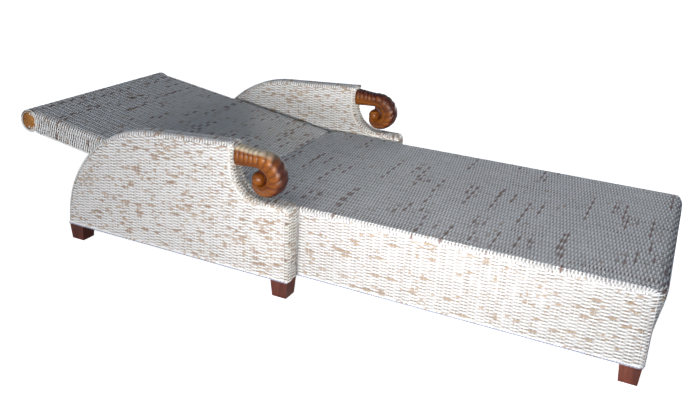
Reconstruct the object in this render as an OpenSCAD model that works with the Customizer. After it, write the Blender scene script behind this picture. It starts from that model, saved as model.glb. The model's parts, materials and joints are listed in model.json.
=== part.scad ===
// Rattan lounger: a long woven daybed with two scroll-ended arm panels and a
// backrest that lifts on hinges and is held up by a stay on notched racks.
// Origin: on the floor, below the middle of the overall length and width.
// +X points to the foot end, +Y to the sitter's left, +Z up. Millimetres.

/* [Base] */
// Length of the woven base, foot end to the back of the arm panels
base_len = 1836; // [1780:1:1900]
// Width of the deck over the woven sides
deck_w = 744; // [640:1:860]
// Height of the deck's woven top
seat_h = 275; // [268:1:300]
// Clear height under the skirts, where the feet show
foot_h = 55; // [40:1:65]
// Rounding of the deck's edges and foot-end corners
edge_r = 15; // [11:1:20]
// Thickness of the woven skins
skin_t = 6; // [4:0.5:8]

/* [Arm panels] */
// Distance from the foot end to the front of the arm panels
arm_front = 987; // [960:1:1010]
// Thickness of an arm panel
arm_t = 60; // [56:1:72]
// Slit between the deck's side and an arm panel
arm_gap = 3; // [1:0.5:5]
// Radius of the arm panel's big rear curve
arm_rear_r = 380; // [360:1:400]
// Rise of the arm's top line towards the scroll, degrees
arm_slope = 3.9; // [2:0.1:5]
// Distance from the arm's front to the face that carries the scroll
scroll_back = 187; // [175:1:200]
// Radius of the hollow curve below the scroll
nose_r = 90; // [80:1:100]
// Height of the arm's low toe above the deck
toe_rise = 18; // [14:1:26]
// Rounding of the toe's front corner
toe_r = 20; // [17.5:0.5:26]
// Rounding of the arm panel's long edges
band_r = 10; // [7:1:12]

/* [Scroll] */
// Distance from the arm's face forward to the eye of the scroll
eye_reach = 73; // [68:1:80]
// Distance from the arm's top line down to the eye
eye_drop = 101; // [98:1:104]
// Radius of the knob in the eye
eye_r = 20.5; // [19:0.5:22]
// Length of the knob across the arm
eye_len = 52; // [44:1:54]
// Thickness of the scroll across the arm
scroll_t = 57; // [48:1:58]
// Length of one carved rib on the straight part
rib_len = 13; // [11:0.5:16]
// Angle of one carved rib round the curl, degrees
rib_turn = 17; // [14:1:22]
// Depth of the valleys between the ribs
rib_depth = 1.7; // [1:0.1:3]
// Diameter of the tenon that joins scroll and arm pole
tenon_d = 12; // [8:1:14]
// Length of the tenon
tenon_len = 36; // [20:1:50]

/* [Backrest] */
// Distance from the foot end to the hinge line
hinge_back = 1259; // [1240:1:1280]
// How far the backrest's sides stand in from the deck's sides
back_inset = 15; // [14:1:40]
// Length from the hinge line to the middle of the head pole
back_len = 806; // [780:1:840]
// Thickness of the backrest over its woven sides
back_t = 75; // [71:1:80]
// Angle of the backrest when it lies on its stop, degrees
back_rest = 8.4; // [7:0.1:10]
// Diameter of the head pole
head_pole_d = 58; // [52:1:62]
// Thickness of the weave wound round the head pole
head_wrap_t = 11; // [8:0.5:13]
// Thickness of a backrest side board
board_t = 22; // [18:1:26]
// Number of cross poles under the backrest's weave
back_poles = 5; // [3:1:6]

/* [Frame] */
// Diameter of the frame poles
pole_d = 28; // [24:1:30]
// Side of the square posts inside the weave
post = 46; // [40:1:48]
// Side of a foot where it meets the skirt
foot_top = 56; // [50:1:58]
// Side of a foot on the floor
foot_bottom = 48; // [40:1:50]
// How far a foot stands in from the woven face above it
foot_set = 4; // [3:0.5:8]
// Height of the low rails above the skirt's lower edge
sill_rise = 6; // [4:1:10]
// Number of cross poles under the deck's weave
deck_poles = 7; // [5:1:9]

/* [Hinges] */
// Open width of the seam between deck and backrest
hinge_gap = 7; // [6.6:0.2:9]
// Depth of the hinge axis below the woven top
hinge_depth = 6; // [5:0.5:7]
// Rounding of the two woven edges at the seam
seam_r = 10; // [9:0.5:12]
// Diameter of a hinge pin
pin_d = 4; // [3:0.5:4]
// Outer diameter of the hinge knuckles
barrel_d = 7.4; // [6:0.2:7.6]
// Running clearance round pins and bolts
run_fit = 0.05; // [0.03:0.01:0.09]
// Thickness of a hinge leaf
leaf_t = 1.5; // [1:0.1:2]
// Width of a hinge
leaf_w = 70; // [50:1:90]
// Height of a hinge leaf below its knuckles
leaf_h = 20; // [16:1:22]
// Spacing between the three hinges
hinge_pitch = 240; // [180:1:270]
// Diameter of the leaf screws
leaf_screw_d = 3.5; // [3:0.5:4]

/* [Stay and racks] */
// Distance along the backrest from the hinge axis to the stay's pivot
stay_pivot = 230; // [222:1:236]
// Depth of that pivot below the backrest's woven top
stay_depth = 51; // [48:1:54]
// Length of the stay between its pivot and its foot bar
stay_len = 265; // [258:1:272]
// Height of a stay arm
stay_h = 30; // [24:1:30]
// Thickness of a stay arm
stay_t = 14; // [10:1:16]
// Diameter of the pivot bolts
bolt_d = 8; // [6:1:10]
// Diameter of the foot bar
bar_d = 18; // [14:1:18]
// Distance from the deck's woven top down to the racks' top
rack_drop = 70; // [67:1:79]
// Height of a rack
rack_h = 41; // [36:1:46]
// Thickness of a rack
rack_t = 22; // [18:1:24]
// Backrest angle held by the first notch, degrees
notch_first = 22; // [20:1:26]
// Backrest angle between two notches, degrees
notch_step = 11; // [9:1:11]
// Number of notches
notches = 4; // [3:1:4]
// Depth of a notch
notch_deep = 9; // [6:0.5:10]
// Diameter of the rack screws
rack_screw_d = 5; // [4:1:6]

/* [Hidden] */
$fn = 64;

cane = [0.93, 0.90, 0.82];
pole_tan = [0.76, 0.58, 0.36];
foot_brown = [0.45, 0.23, 0.14];
scroll_brown = [0.58, 0.32, 0.12];
steel = [0.62, 0.63, 0.65];

// Small distances that keep neighbours seated without touching curves
seat_fit = 0.2;
over = 1;
pole_r = pole_d / 2;
far = 4000;

// The overall length runs from the foot end to the back of the head roll
roll_r = head_pole_d / 2 + head_wrap_t;
head_x = -back_len;
head_z = hinge_depth - roll_r;
overall_len = hinge_back - (head_x * cos(back_rest) + head_z * sin(back_rest)) + roll_r;
foot_x = overall_len / 2;
front_x = foot_x - arm_front;
face_x = front_x - scroll_back;
hinge_x = foot_x - hinge_back;
rear_x = foot_x - base_len;

// Widths, measured from the middle plane
deck_y = deck_w / 2;
arm_in = deck_y + arm_gap;
arm_out = arm_in + arm_t;
arm_y = (arm_in + arm_out) / 2;
back_y = deck_y - back_inset;
rail_y = deck_y - skin_t - pole_r;
board_y = back_y - skin_t - board_t;

// Heights
rail_z = seat_h - skin_t - pole_r;
beam_z = rail_z - pole_d;
sill_z = foot_h + sill_rise + pole_r;
toe_z = seat_h + toe_rise;
rack_top = seat_h - rack_drop;
deck_in = hinge_x + hinge_gap / 2;

// The arm's outline: rear arc, rising top line, scroll face, hollow nose, toe
arc_x = rear_x + arm_rear_r;
arc_z = foot_h;
top_x = arc_x - arm_rear_r * sin(arm_slope);
top_z = arc_z + arm_rear_r * cos(arm_slope);
face_top = top_z + (face_x - top_x) * tan(arm_slope);
nose_x = face_x + nose_r;
nose_z = toe_z + nose_r;
hoop_in = skin_t + seat_fit + pole_r;
hoop_r = arm_rear_r - hoop_in;
band_d = band_r + 6;

// Posts stand under the arm panels' ends and at the foot-end corners
mid_x = front_x - foot_set - foot_top / 2;
rear_post_x = rear_x + foot_set + foot_top / 2;
end_post_x = foot_x - foot_set - foot_top / 2;
end_post_y = deck_y - foot_set - foot_top / 2;
rear_post_in = foot_set + (foot_top - post) / 2;
rear_post_top = arc_z + sqrt(pow(arm_rear_r - skin_t - 2 * over, 2) - pow(arm_rear_r - rear_post_in, 2)) - seat_fit;
mid_post_top = toe_z - toe_r;
hoop_start = 180 - asin((rear_post_top + seat_fit - arc_z) / (hoop_r - pole_r));

// The hinge axis, and points of the backrest in the room at an angle
axis_z = seat_h - hinge_depth;
function lifted(x, z, a) = [hinge_x + x * cos(a) + z * sin(a), axis_z - x * sin(a) + z * cos(a)];

// The rear stop rail sits in the rear curve, just under the resting backrest
roll_step = 0.5;
stop_wrap = pole_r + skin_t - roll_step;
stop_reach = (hinge_x - arc_x) * sin(back_rest) + (axis_z - arc_z) * cos(back_rest)
    + hinge_depth - back_t - stop_wrap - 0.3;
stop_a = 180 - asin(stop_reach / hoop_r) - back_rest;
stop_x = arc_x + hoop_r * cos(stop_a);
stop_z = arc_z + hoop_r * sin(stop_a);

// The stay: its pivot on the backrest, its foot on the racks
pivot_x = -stay_pivot;
pivot_z = hinge_depth - stay_depth;
bar_z = rack_top + bar_d / 2 + 0.3;
function stay_sag(a) = asin((lifted(pivot_x, pivot_z, a)[1] - bar_z) / stay_len);
function bar_x(a) = lifted(pivot_x, pivot_z, a)[0] - stay_len * cos(stay_sag(a));
bar_rest_x = bar_x(back_rest);
notch_last = notch_first + (notches - 1) * notch_step;
rack_x0 = bar_rest_x - 26;
rack_x1 = bar_x(notch_last) + 32;
rack_y = board_y;
rack_beam_xs = [rack_x0 + 40, rack_x1 - 28];
rack_beam_z = rack_top - rack_h - pole_r;
stay_y = board_y - 4 - stay_t;
hinge_beam_x = deck_in + skin_t + pole_r;
stile_xs = [hinge_beam_x, rack_beam_xs[1], rack_beam_xs[0]];

// Basic shapes

// A rectangle whose four corners each have their own rounding
module card(x0, x1, y0, y1, bl = 0, br = 0, tr = 0, tl = 0) {
    polygon([[x0 + bl, y0], [x1 - br, y0], [x1, y0 + br], [x1, y1 - tr],
             [x1 - tr, y1], [x0 + tl, y1], [x0, y1 - tl], [x0, y0 + bl]]);
    if (bl > 0) translate([x0 + bl, y0 + bl]) circle(bl);
    if (br > 0) translate([x1 - br, y0 + br]) circle(br);
    if (tr > 0) translate([x1 - tr, y1 - tr]) circle(tr);
    if (tl > 0) translate([x0 + tl, y1 - tl]) circle(tl);
}

// A side view drawn in X and Z, given its thickness from y0 to y1
module slab(y0, y1) {
    translate([0, y1, 0]) rotate([90, 0, 0]) linear_extrude(y1 - y0) children();
}

module pole_x(x0, x1, y, z, d = pole_d) {
    translate([x0, y, z]) rotate([0, 90, 0]) cylinder(h = x1 - x0, d = d);
}

module pole_y(y0, y1, x, z, d = pole_d) {
    translate([x, y0, z]) rotate([-90, 0, 0]) cylinder(h = y1 - y0, d = d);
}

// A profile turned about an axis along Y, drawn as radius and depth inwards
module turn_y(x, z, y, a0, a1) {
    translate([x, y, z]) rotate([90, 0, 0]) rotate([0, 0, a0])
        rotate_extrude(angle = a1 - a0, $fn = 144) children();
}

// A profile drawn along a straight run of the outline, outward side to +x
module run_y(p, q, y) {
    a = atan2(q[1] - p[1], q[0] - p[0]);
    translate([p[0], y, p[1]]) rotate([0, 90 - a, 0]) rotate([0, 0, 180])
        linear_extrude(norm(q - p)) children();
}

// Left-hand pieces are built once and mirrored for the right
module on_side(s) {
    mirror([0, s > 0 ? 0 : 1, 0]) children();
}

module in_back() {
    translate([hinge_x, 0, axis_z]) rotate([0, back_rest, 0]) children();
}

module in_stay() {
    p = lifted(pivot_x, pivot_z, back_rest);
    translate([p[0], 0, p[1]]) rotate([0, -stay_sag(back_rest), 0]) children();
}

// Legs: a tapered foot below the skirt and a square post above it

module tapered_foot() {
    intersection() {
        slab(-far / 2, far / 2)
            polygon([[-foot_bottom / 2, 0], [foot_bottom / 2, 0], [foot_top / 2, foot_h], [-foot_top / 2, foot_h]]);
        rotate([0, 0, 90]) slab(-far / 2, far / 2)
            polygon([[-foot_bottom / 2, 0], [foot_bottom / 2, 0], [foot_top / 2, foot_h], [-foot_top / 2, foot_h]]);
    }
}

module leg(x, y, top) {
    color(foot_brown) translate([x, y, 0]) {
        tapered_foot();
        translate([-post / 2, -post / 2, foot_h - over]) cube([post, post, top - foot_h + over]);
    }
}

// Base frame

module deck_rail() {
    color(pole_tan) pole_x(hinge_beam_x + pole_r, end_post_x - post / 2, rail_y, rail_z);
}

module sill() {
    color(pole_tan) pole_x(mid_x + pole_r, end_post_x - post / 2, rail_y, sill_z);
}

module foot_rail() {
    y = end_post_y - post / 2;
    color(pole_tan) pole_y(-y, y, foot_x - skin_t - pole_r, rail_z);
}

module foot_sill() {
    y = end_post_y - post / 2;
    color(pole_tan) pole_y(-y, y, foot_x - skin_t - pole_r, sill_z);
}

module mid_sill() {
    y = arm_y - post / 2;
    color(pole_tan) pole_y(-y, y, mid_x, sill_z);
}

module mid_beam() {
    y = arm_y - post / 2;
    color(pole_tan) pole_y(-y, y, mid_x, beam_z);
}

module hinge_beam() {
    y = arm_y - pole_r;
    color(pole_tan) pole_y(-y, y, hinge_beam_x, beam_z);
}

module rear_sill() {
    y = arm_y - post / 2;
    color(pole_tan) pole_y(-y, y, rear_post_x, sill_z);
}

module back_stop_rail() {
    y = arm_y - pole_r;
    color(pole_tan) pole_y(-y, y, stop_x, stop_z);
}

module hinge_rail() {
    y = deck_y - edge_r;
    r = seam_r - skin_t + over;
    color(pole_tan) difference() {
        slab(-y, y) card(deck_in + skin_t, deck_in + skin_t + pole_d, rail_z - pole_r, rail_z + pole_r, tl = r);
        translate([hinge_x, 0, axis_z]) leaf_holes(1);
    }
}

module deck_cross_poles() {
    first = hinge_beam_x;
    last = foot_x - skin_t - pole_r;
    y = rail_y - pole_r;
    color(pole_tan) for (i = [1 : deck_poles])
        pole_y(-y, y, first + (last - first) * i / (deck_poles + 1), rail_z);
}

// Arm frames

module arm_sill() {
    color(pole_tan) pole_x(rear_post_x + post / 2, mid_x - post / 2, arm_y, sill_z);
}

// Straight runs are a hair thinner than the bends and start inside them
bend_lap = 0.1;

module hoop_core(d) {
    e = face_x - skin_t - 2 * over;
    u = [cos(arm_slope), sin(arm_slope)];
    p = [top_x + hoop_in * sin(arm_slope), top_z - hoop_in * cos(arm_slope)];
    q = [e, p[1] + (e - p[0]) * tan(arm_slope)];
    turn_y(arc_x, arc_z, arm_y, 90 + arm_slope, hoop_start) translate([hoop_r, 0]) circle(d = d);
    run_y(p - over * u, q, arm_y) circle(d = d - bend_lap);
}

module arm_hoop() {
    color(pole_tan) difference() {
        hoop_core(pole_d);
        tenon(tenon_d + 2 * run_fit, tenon_len + 4);
    }
}

module arm_bend() {
    x = face_x - hoop_in;
    z = toe_z - hoop_in;
    top = face_top - 2 * hoop_in * tan(arm_slope) - hoop_in - pole_r;
    color(pole_tan) {
        turn_y(nose_x, nose_z, arm_y, 180, 270) translate([nose_r + hoop_in, 0]) circle(d = pole_d);
        translate([x, arm_y, nose_z - over]) cylinder(h = top - nose_z + over, d = pole_d - bend_lap);
        pole_x(nose_x - over, mid_x - post / 2, arm_y, z, pole_d - bend_lap);
    }
}

module arm_stiles() {
    foot = sill_z + pole_r;
    color(pole_tan) difference() {
        for (x = stile_xs) {
            in_arc = x < top_x + hoop_in * sin(arm_slope);
            top = in_arc ? arc_z + sqrt(hoop_r * hoop_r - pow(x - arc_x, 2))
                : top_z - hoop_in * cos(arm_slope) + (x - top_x) * tan(arm_slope);
            translate([x, arm_y, foot]) cylinder(h = top - foot, d = pole_d);
        }
        hoop_core(pole_d + 2 * seat_fit);
    }
}

// Racks that hold the stay

module rack_beams() {
    y = arm_y - pole_r;
    color(pole_tan) difference() {
        for (x = rack_beam_xs) pole_y(-y, y, x, rack_beam_z);
        for (s = [-1, 1]) on_side(s) rack_screw_row(rack_screw_d + 2 * run_fit);
    }
}

module rack_screw_row(d) {
    for (x = rack_beam_xs)
        translate([x, rack_y + rack_t / 2, rack_beam_z]) cylinder(h = rack_h + pole_r - 6, d = d);
}

module rack() {
    color(pole_tan) difference() {
        slab(rack_y, rack_y + rack_t) difference() {
            card(rack_x0, rack_x1, rack_top - rack_h, rack_top, tr = 6, tl = 6);
            for (i = [0 : notches - 1])
                translate([bar_x(notch_first + i * notch_step), bar_z - notch_deep]) circle(d = bar_d + 1);
        }
        rack_screw_row(rack_screw_d + 2 * run_fit);
        for (x = rack_beam_xs)
            translate([x, rack_y + rack_t / 2, rack_top - 6]) cylinder(h = 10, d = 2.4 * rack_screw_d);
    }
}

module rack_screws() {
    color(steel) for (s = [-1, 1]) on_side(s) {
        rack_screw_row(rack_screw_d);
        for (x = rack_beam_xs)
            translate([x, rack_y + rack_t / 2, rack_top - 6]) cylinder(h = 3, d = 2 * rack_screw_d);
    }
}

// Woven skins of the base

// A quarter of a woven roll: outer radius r, one skin thick
module roll_profile(r) {
    difference() {
        intersection() {
            circle(r);
            square(r);
        }
        circle(r - skin_t);
    }
}

// A woven edge rolled over along X, from the top down to the +Y side
module edge_along_x(x0, x1, y, z, r) {
    translate([x0, y - r, z - r]) rotate([90, 0, 90]) linear_extrude(x1 - x0) roll_profile(r);
}

// The same along Y, rolled over towards +X
module edge_along_y(y, x, z, r) {
    slab(-y, y) translate([x - r, z - r]) roll_profile(r);
}

module deck_weave() {
    flat_y = deck_y - edge_r;
    low = rail_z - pole_r;
    color(cane) difference() {
        union() {
            translate([deck_in + seam_r, -flat_y, seat_h - skin_t])
                cube([foot_x - edge_r - deck_in - seam_r, 2 * flat_y, skin_t]);
            edge_along_y(flat_y, foot_x, seat_h, edge_r);
            for (s = [-1, 1]) on_side(s) {
                edge_along_x(deck_in + seam_r, foot_x - edge_r, deck_y, seat_h, edge_r);
                translate([foot_x - edge_r, flat_y, seat_h - edge_r])
                    rotate_extrude(angle = 90) roll_profile(edge_r);
            }
            translate([2 * deck_in, 0, 0]) mirror([1, 0, 0]) {
                edge_along_y(flat_y, deck_in, seat_h, seam_r);
                translate([deck_in - skin_t, -flat_y, low]) cube([skin_t, 2 * flat_y, seat_h - seam_r - low]);
            }
        }
        translate([hinge_x, 0, axis_z]) leaf_holes(1);
    }
}

// A skirt starts a little behind the arm panel's rounded front, in front of the mid beams
module skirt() {
    x0 = front_x - band_r - 4;
    color(cane) translate([x0, deck_y - skin_t, foot_h])
        cube([foot_x - edge_r - x0, skin_t, seat_h - edge_r - foot_h]);
}

module skirt_foot() {
    color(cane) translate([0, 0, foot_h]) linear_extrude(seat_h - edge_r - foot_h) intersection() {
        difference() {
            card(front_x, foot_x, -deck_y, deck_y, br = edge_r, tr = edge_r);
            card(front_x, foot_x - skin_t, -deck_y + skin_t, deck_y - skin_t,
                br = edge_r - skin_t, tr = edge_r - skin_t);
        }
        translate([foot_x - edge_r, -deck_y]) square([edge_r, deck_w]);
    }
}

// A wedge with its tip at p, from angle a0 up to angle a1, less than a half turn
module wedge(p, a0, a1) {
    polygon([p, p + far * [cos(a0), sin(a0)], p + 9 * far * [cos((a0 + a1) / 2), sin((a0 + a1) / 2)],
             p + far * [cos(a1), sin(a1)]]);
}

// The apron's skin ends a touch past the top of the rail that it rolls over
module rear_apron() {
    w = arm_in - seat_fit;
    lip = 1;
    arc = [arc_x, arc_z];
    rail = [stop_x, stop_z];
    color(cane) slab(-w, w) difference() {
        union() {
            intersection() {
                difference() {
                    translate(arc) circle(arm_rear_r);
                    translate(arc) circle(arm_rear_r - skin_t);
                }
                wedge(arc, stop_a - lip, 180);
            }
            intersection() {
                translate(rail) circle(pole_r + skin_t - roll_step);
                union() {
                    wedge(rail, stop_a - 180, stop_a - 80);
                    wedge(rail, stop_a - 100, stop_a + 2 * lip);
                }
            }
        }
        translate(rail) circle(pole_r + seat_fit);
    }
}

// Arm panel weave: a rounded rim all round the outline and two woven faces

// Cross-section of the rim, i lower than the bends: x outwards, y from the outer face inwards
module rim_profile(i = 0) {
    d = band_d + 6 * i;
    difference() {
        card(-d, -i, i, arm_t - i, br = band_r, tr = band_r);
        card(-d - over, -skin_t - i, skin_t + i, arm_t - skin_t - i, br = band_r - skin_t, tr = band_r - skin_t);
        translate([-d - 2 * band_r, -over]) square([2 * band_r, arm_t + 2 * over]);
    }
}

// What is drawn below the panel's lower edge and cut off again
below = 2;

// Outline of the panel in X and Z, drawn in by i
module arm_outline(i) {
    n = [-sin(arm_slope), cos(arm_slope)];
    p = [top_x, top_z] - (i + bend_lap) * n;
    e = face_x - i;
    difference() {
        union() {
            intersection() {
                translate([arc_x, arc_z]) circle(arm_rear_r - i, $fn = 144);
                card(rear_x - over, arc_x, foot_h - below, top_z);
            }
            polygon([[p[0], foot_h - below], [front_x - i, foot_h - below], [front_x - i, toe_z - i],
                     [nose_x - over, toe_z - i], [nose_x - over, nose_z], [e, nose_z],
                     [e, p[1] + (e - p[0]) * tan(arm_slope)], p]);
        }
        translate([nose_x, nose_z]) circle(nose_r + i);
    }
}

module arm_weave() {
    in = band_d - 2 * over;
    down = atan(below / arm_rear_r);
    // Straight runs start inside the bends and lie a hair lower, the faces lower still
    step = bend_lap / 2;
    // The sloped rim stops just short, so that its end stays behind the flat face
    lean = band_d * sin(arm_slope) + 2 * bend_lap;
    u = [cos(arm_slope), sin(arm_slope)];
    top_end = [face_x - lean, face_top - lean * tan(arm_slope)];
    color(cane) difference() {
        union() {
            turn_y(arc_x, arc_z, arm_out, 90 + arm_slope, 180 + down) translate([arm_rear_r, 0]) rim_profile();
            run_y([top_x, top_z] - over * u, top_end, arm_out) rim_profile(step);
            turn_y(nose_x, nose_z, arm_out, 180, 270) translate([nose_r, 0]) mirror([1, 0]) rim_profile();
            run_y([nose_x - over, toe_z], [front_x - toe_r + over, toe_z], arm_out) rim_profile(step);
            turn_y(front_x - toe_r, toe_z - toe_r, arm_out, 0, 90) translate([toe_r, 0]) rim_profile();
            run_y([front_x, toe_z - toe_r + over], [front_x, foot_h - below], arm_out) rim_profile(step);
            slab(arm_out - skin_t - bend_lap, arm_out - bend_lap) arm_outline(in);
            slab(arm_in + bend_lap, arm_in + skin_t + bend_lap) arm_outline(in);
            // Woven face behind the scroll's shoulder
            slab(arm_in + band_r, arm_out - band_r)
                card(face_x - skin_t - step, face_x - step, nose_z - over, face_top - skin_t / 2);
            slab(arm_in, arm_out) card(face_x - skin_t - step, face_x - step, nose_z + band_r, face_top - band_r);
        }
        slab(arm_in - over, arm_out + over) card(rear_x - over, front_x + over, foot_h - 2 * below, foot_h);
        // The deck's own side closes the inner face there
        slab(arm_in - over, arm_in + skin_t + over)
            card(deck_in, front_x - band_d - over, foot_h - 2 * below, seat_h - edge_r);
        tenon(tenon_d + 2 * seat_fit, tenon_len);
        for (p = concat([for (x = rack_beam_xs) [x, rack_beam_z]], [[rear_post_x, sill_z], [stop_x, stop_z]]))
            pole_y(arm_in - over, arm_in + band_r + over, p[0], p[1], pole_d + 3 * seat_fit);
    }
}

// Carved scroll: a ribbed rope of wood that curls in to a knob

eye = [face_x + eye_reach, face_top - eye_drop];

// Shape of the curl about its eye: angle from upright, outer and inner radius for an eye 101 mm down
knots_drop = 101;
knots = [[0, 83, 34], [40, 90.5, 32.5], [72, 91, 32.5], [100, 82.5, 28], [138, 64.5, 21],
         [180, 46.5, 11.5], [222, 29, 7.5], [262, 16, 4]];
curl = [for (k = knots) [k[0], k[1] * eye_drop / knots_drop, k[2] * eye_drop / knots_drop]];
// The scroll's end stands inside the woven collar: from scroll_in below the arm's top line, scroll_face_h high
scroll_in = 12;
scroll_face_h = 60;
rings_per_rib = 4;
section_points = 24;

function knot(a, i = 0) = i >= len(curl) - 2 || a < curl[i + 1][0] ? i : knot(a, i + 1);
function knot_slope(i, k) = let (a = max(i - 1, 0), b = min(i + 1, len(curl) - 1))
    (curl[b][k] - curl[a][k]) / (curl[b][0] - curl[a][0]);
function curl_r(a, k) = let (i = knot(a), w = curl[i + 1][0] - curl[i][0], t = (a - curl[i][0]) / w)
    curl[i][k] * (2 * t * t * t - 3 * t * t + 1) + knot_slope(i, k) * w * (t * t * t - 2 * t * t + t)
    + curl[i + 1][k] * (3 * t * t - 2 * t * t * t) + knot_slope(i + 1, k) * w * (t * t * t - t * t);

// Stations along the scroll: [outer point, inner point, half thickness, rib count, rib slant]
curl_end = curl[len(curl) - 1][0];
straight_ribs = eye_reach / rib_len;
curl_ribs = curl_end / rib_turn;
straight_steps = round(straight_ribs * rings_per_rib);
curl_steps = round(curl_ribs * rings_per_rib);
function straight_station(t) = let (x = face_x + eye_reach * t, top = face_top - scroll_in, low = top - scroll_face_h)
    [[x, top + (eye[1] + curl[0][1] - top) * t * t * (3 - 2 * t)],
     [x, low + (eye[1] + curl[0][2] - low) * t],
     scroll_t / 2 - 1.5 + 1.5 * min(1, 8 * t), straight_ribs * t, 0.15 + 0.5 * t];
function curl_station(t) = let (a = curl_end * t, u = [sin(a), cos(a)])
    [eye + curl_r(a, 1) * u, eye + curl_r(a, 2) * u,
     scroll_t / 2 - (scroll_t / 2 - 15) * pow(t, 2.2), straight_ribs + curl_ribs * t, 0.65 + 1.6 * min(1, 2.2 * t)];
stations = concat([for (i = [0 : straight_steps - 1]) straight_station(i / straight_steps)],
    [for (i = [0 : curl_steps]) curl_station(i / curl_steps)]);

function soft(v) = sign(v) * pow(abs(v), 0.72);
// 1 over the ribbed outer band, 0 over the smooth inner band
function ribbed(c) = min(1, max(0, (c + 0.6) / 0.25));
function rib_cut(s, j) = let (a = 360 * j / section_points, w = a > 180 ? a - 360 : a, c = cos(a),
        phase = s[3] + s[4] * w / 180)
    rib_depth * ribbed(c) * (1 - pow(abs(sin(180 * phase)), 0.7))
    + (abs(c + 0.5) < 0.01 ? rib_depth * 0.8 : 0);
function section_point(s, j) = let (mid = (s[0] + s[1]) / 2, out = (s[0] - s[1]) / 2, hw = norm(out),
        a = 360 * j / section_points, cut = rib_cut(s, j), p = mid + out * soft(cos(a)) * (1 - cut / hw))
    [p[0], arm_y + s[2] * soft(sin(a)) * (1 - cut / s[2]), p[1]];

module rope() {
    n = section_points;
    m = len(stations);
    points = [for (s = stations, j = [0 : n - 1]) section_point(s, j)];
    sides = [for (i = [0 : m - 2], j = [0 : n - 1]) let (k = (j + 1) % n)
        each [[i * n + j, i * n + k, (i + 1) * n + j], [i * n + k, (i + 1) * n + k, (i + 1) * n + j]]];
    polyhedron(points = points, faces = concat(sides, [[for (j = [n - 1 : -1 : 0]) j]],
        [[for (j = [0 : n - 1]) (m - 1) * n + j]]));
}

// Tenon from the scroll back into the arm's bent pole
module tenon(d, reach) {
    z = face_top - hoop_in / cos(arm_slope) - skin_t * tan(arm_slope);
    translate([face_x + 2, arm_y, z + 2 * tan(arm_slope)])
        rotate([0, -90 - arm_slope, 0]) cylinder(h = reach, d = d);
}

// Knob in the eye, turned about the axis across the arm
module eye_knob() {
    dome = [[0, 0], [0.55, 0], [0.8, 0.11], [0.95, 0.32], [1, 0.55]];
    side = [for (q = dome) [eye_r * q[0], eye_len / 2 - eye_r * q[1]]];
    low = [for (i = [len(side) - 1 : -1 : 0]) [side[i][0], -side[i][1]]];
    translate([eye[0], arm_y, eye[1]]) rotate([90, 0, 0]) rotate_extrude($fn = 48) polygon(concat(side, low));
}

module scroll() {
    color(scroll_brown) {
        rope();
        eye_knob();
        tenon(tenon_d, tenon_len - 2);
    }
}

// Hinges

hinge_ys = [-hinge_pitch, 0, hinge_pitch];
knuckle_w = leaf_w / 3;
leaf_top = -barrel_d / 2 - 0.8;
leaf_low = leaf_top - leaf_h;
screw_z = (leaf_top + leaf_low) / 2;
screw_len = leaf_t + skin_t + 16;
head_h = 0.9;

// Screw positions on the leaves of one side: s is +1 on the deck, -1 on the backrest
module leaf_screw_places(s) {
    for (y = hinge_ys, k = [-1, 1])
        translate([s * (hinge_gap / 2 - leaf_t), y + k * leaf_w * 0.32, screw_z]) rotate([0, s * 90, 0]) children();
}

module leaf_holes(s) {
    leaf_screw_places(s) translate([0, 0, -over]) cylinder(h = screw_len + 2 * over, d = leaf_screw_d + 2 * run_fit);
}

module leaf_screws(s) {
    color(steel) leaf_screw_places(s) {
        cylinder(h = screw_len, d = leaf_screw_d);
        translate([0, 0, -head_h]) cylinder(h = head_h, d = 2 * leaf_screw_d);
    }
}

// One leaf with the knuckles that start at the given places along the pin
module leaf(s, starts, width) {
    difference() {
        union() {
            translate([s > 0 ? hinge_gap / 2 - leaf_t : -hinge_gap / 2, -leaf_w / 2, leaf_low])
                cube([leaf_t, leaf_w, leaf_h]);
            for (y = starts) {
                translate([0, y, 0]) rotate([-90, 0, 0]) cylinder(h = width, d = barrel_d);
                translate([s > 0 ? hinge_gap / 2 - leaf_t : -hinge_gap / 2, y, leaf_top - over])
                    cube([leaf_t, width, over - leaf_top]);
            }
        }
        pole_y(-leaf_w, leaf_w, 0, 0, pin_d + 2 * run_fit);
    }
}

module hinge_fixed_leaves() {
    w = knuckle_w - seat_fit;
    color(steel) translate([hinge_x, 0, axis_z]) difference() {
        for (y = hinge_ys) translate([0, y, 0]) leaf(1, [-leaf_w / 2, leaf_w / 2 - w], w);
        leaf_holes(1);
    }
}

module hinge_moving_leaves() {
    w = knuckle_w - seat_fit;
    color(steel) in_back() difference() {
        for (y = hinge_ys) translate([0, y, 0]) leaf(-1, [-w / 2], w);
        leaf_holes(-1);
    }
}

module hinge_pins() {
    color(steel) translate([hinge_x, 0, axis_z])
        for (y = hinge_ys) pole_y(y - leaf_w / 2, y + leaf_w / 2, 0, 0, pin_d);
}

module hinge_screws_deck() {
    translate([hinge_x, 0, axis_z]) leaf_screws(1);
}

module hinge_screws_back() {
    in_back() leaf_screws(-1);
}

// Backrest, drawn in its own frame with the hinge axis at the origin

frame_top = hinge_depth - skin_t;
back_edge = -hinge_gap / 2;
board_z0 = hinge_depth - back_t + skin_t;
board_end = head_x + head_pole_d / 2 * 0.7;

module back_front_rail() {
    r = seam_r - skin_t + over;
    color(pole_tan) in_back() difference() {
        slab(-board_y, board_y) card(back_edge - skin_t - pole_d, back_edge - skin_t,
            frame_top - pole_d, frame_top, tr = r);
        leaf_holes(-1);
    }
}

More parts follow.
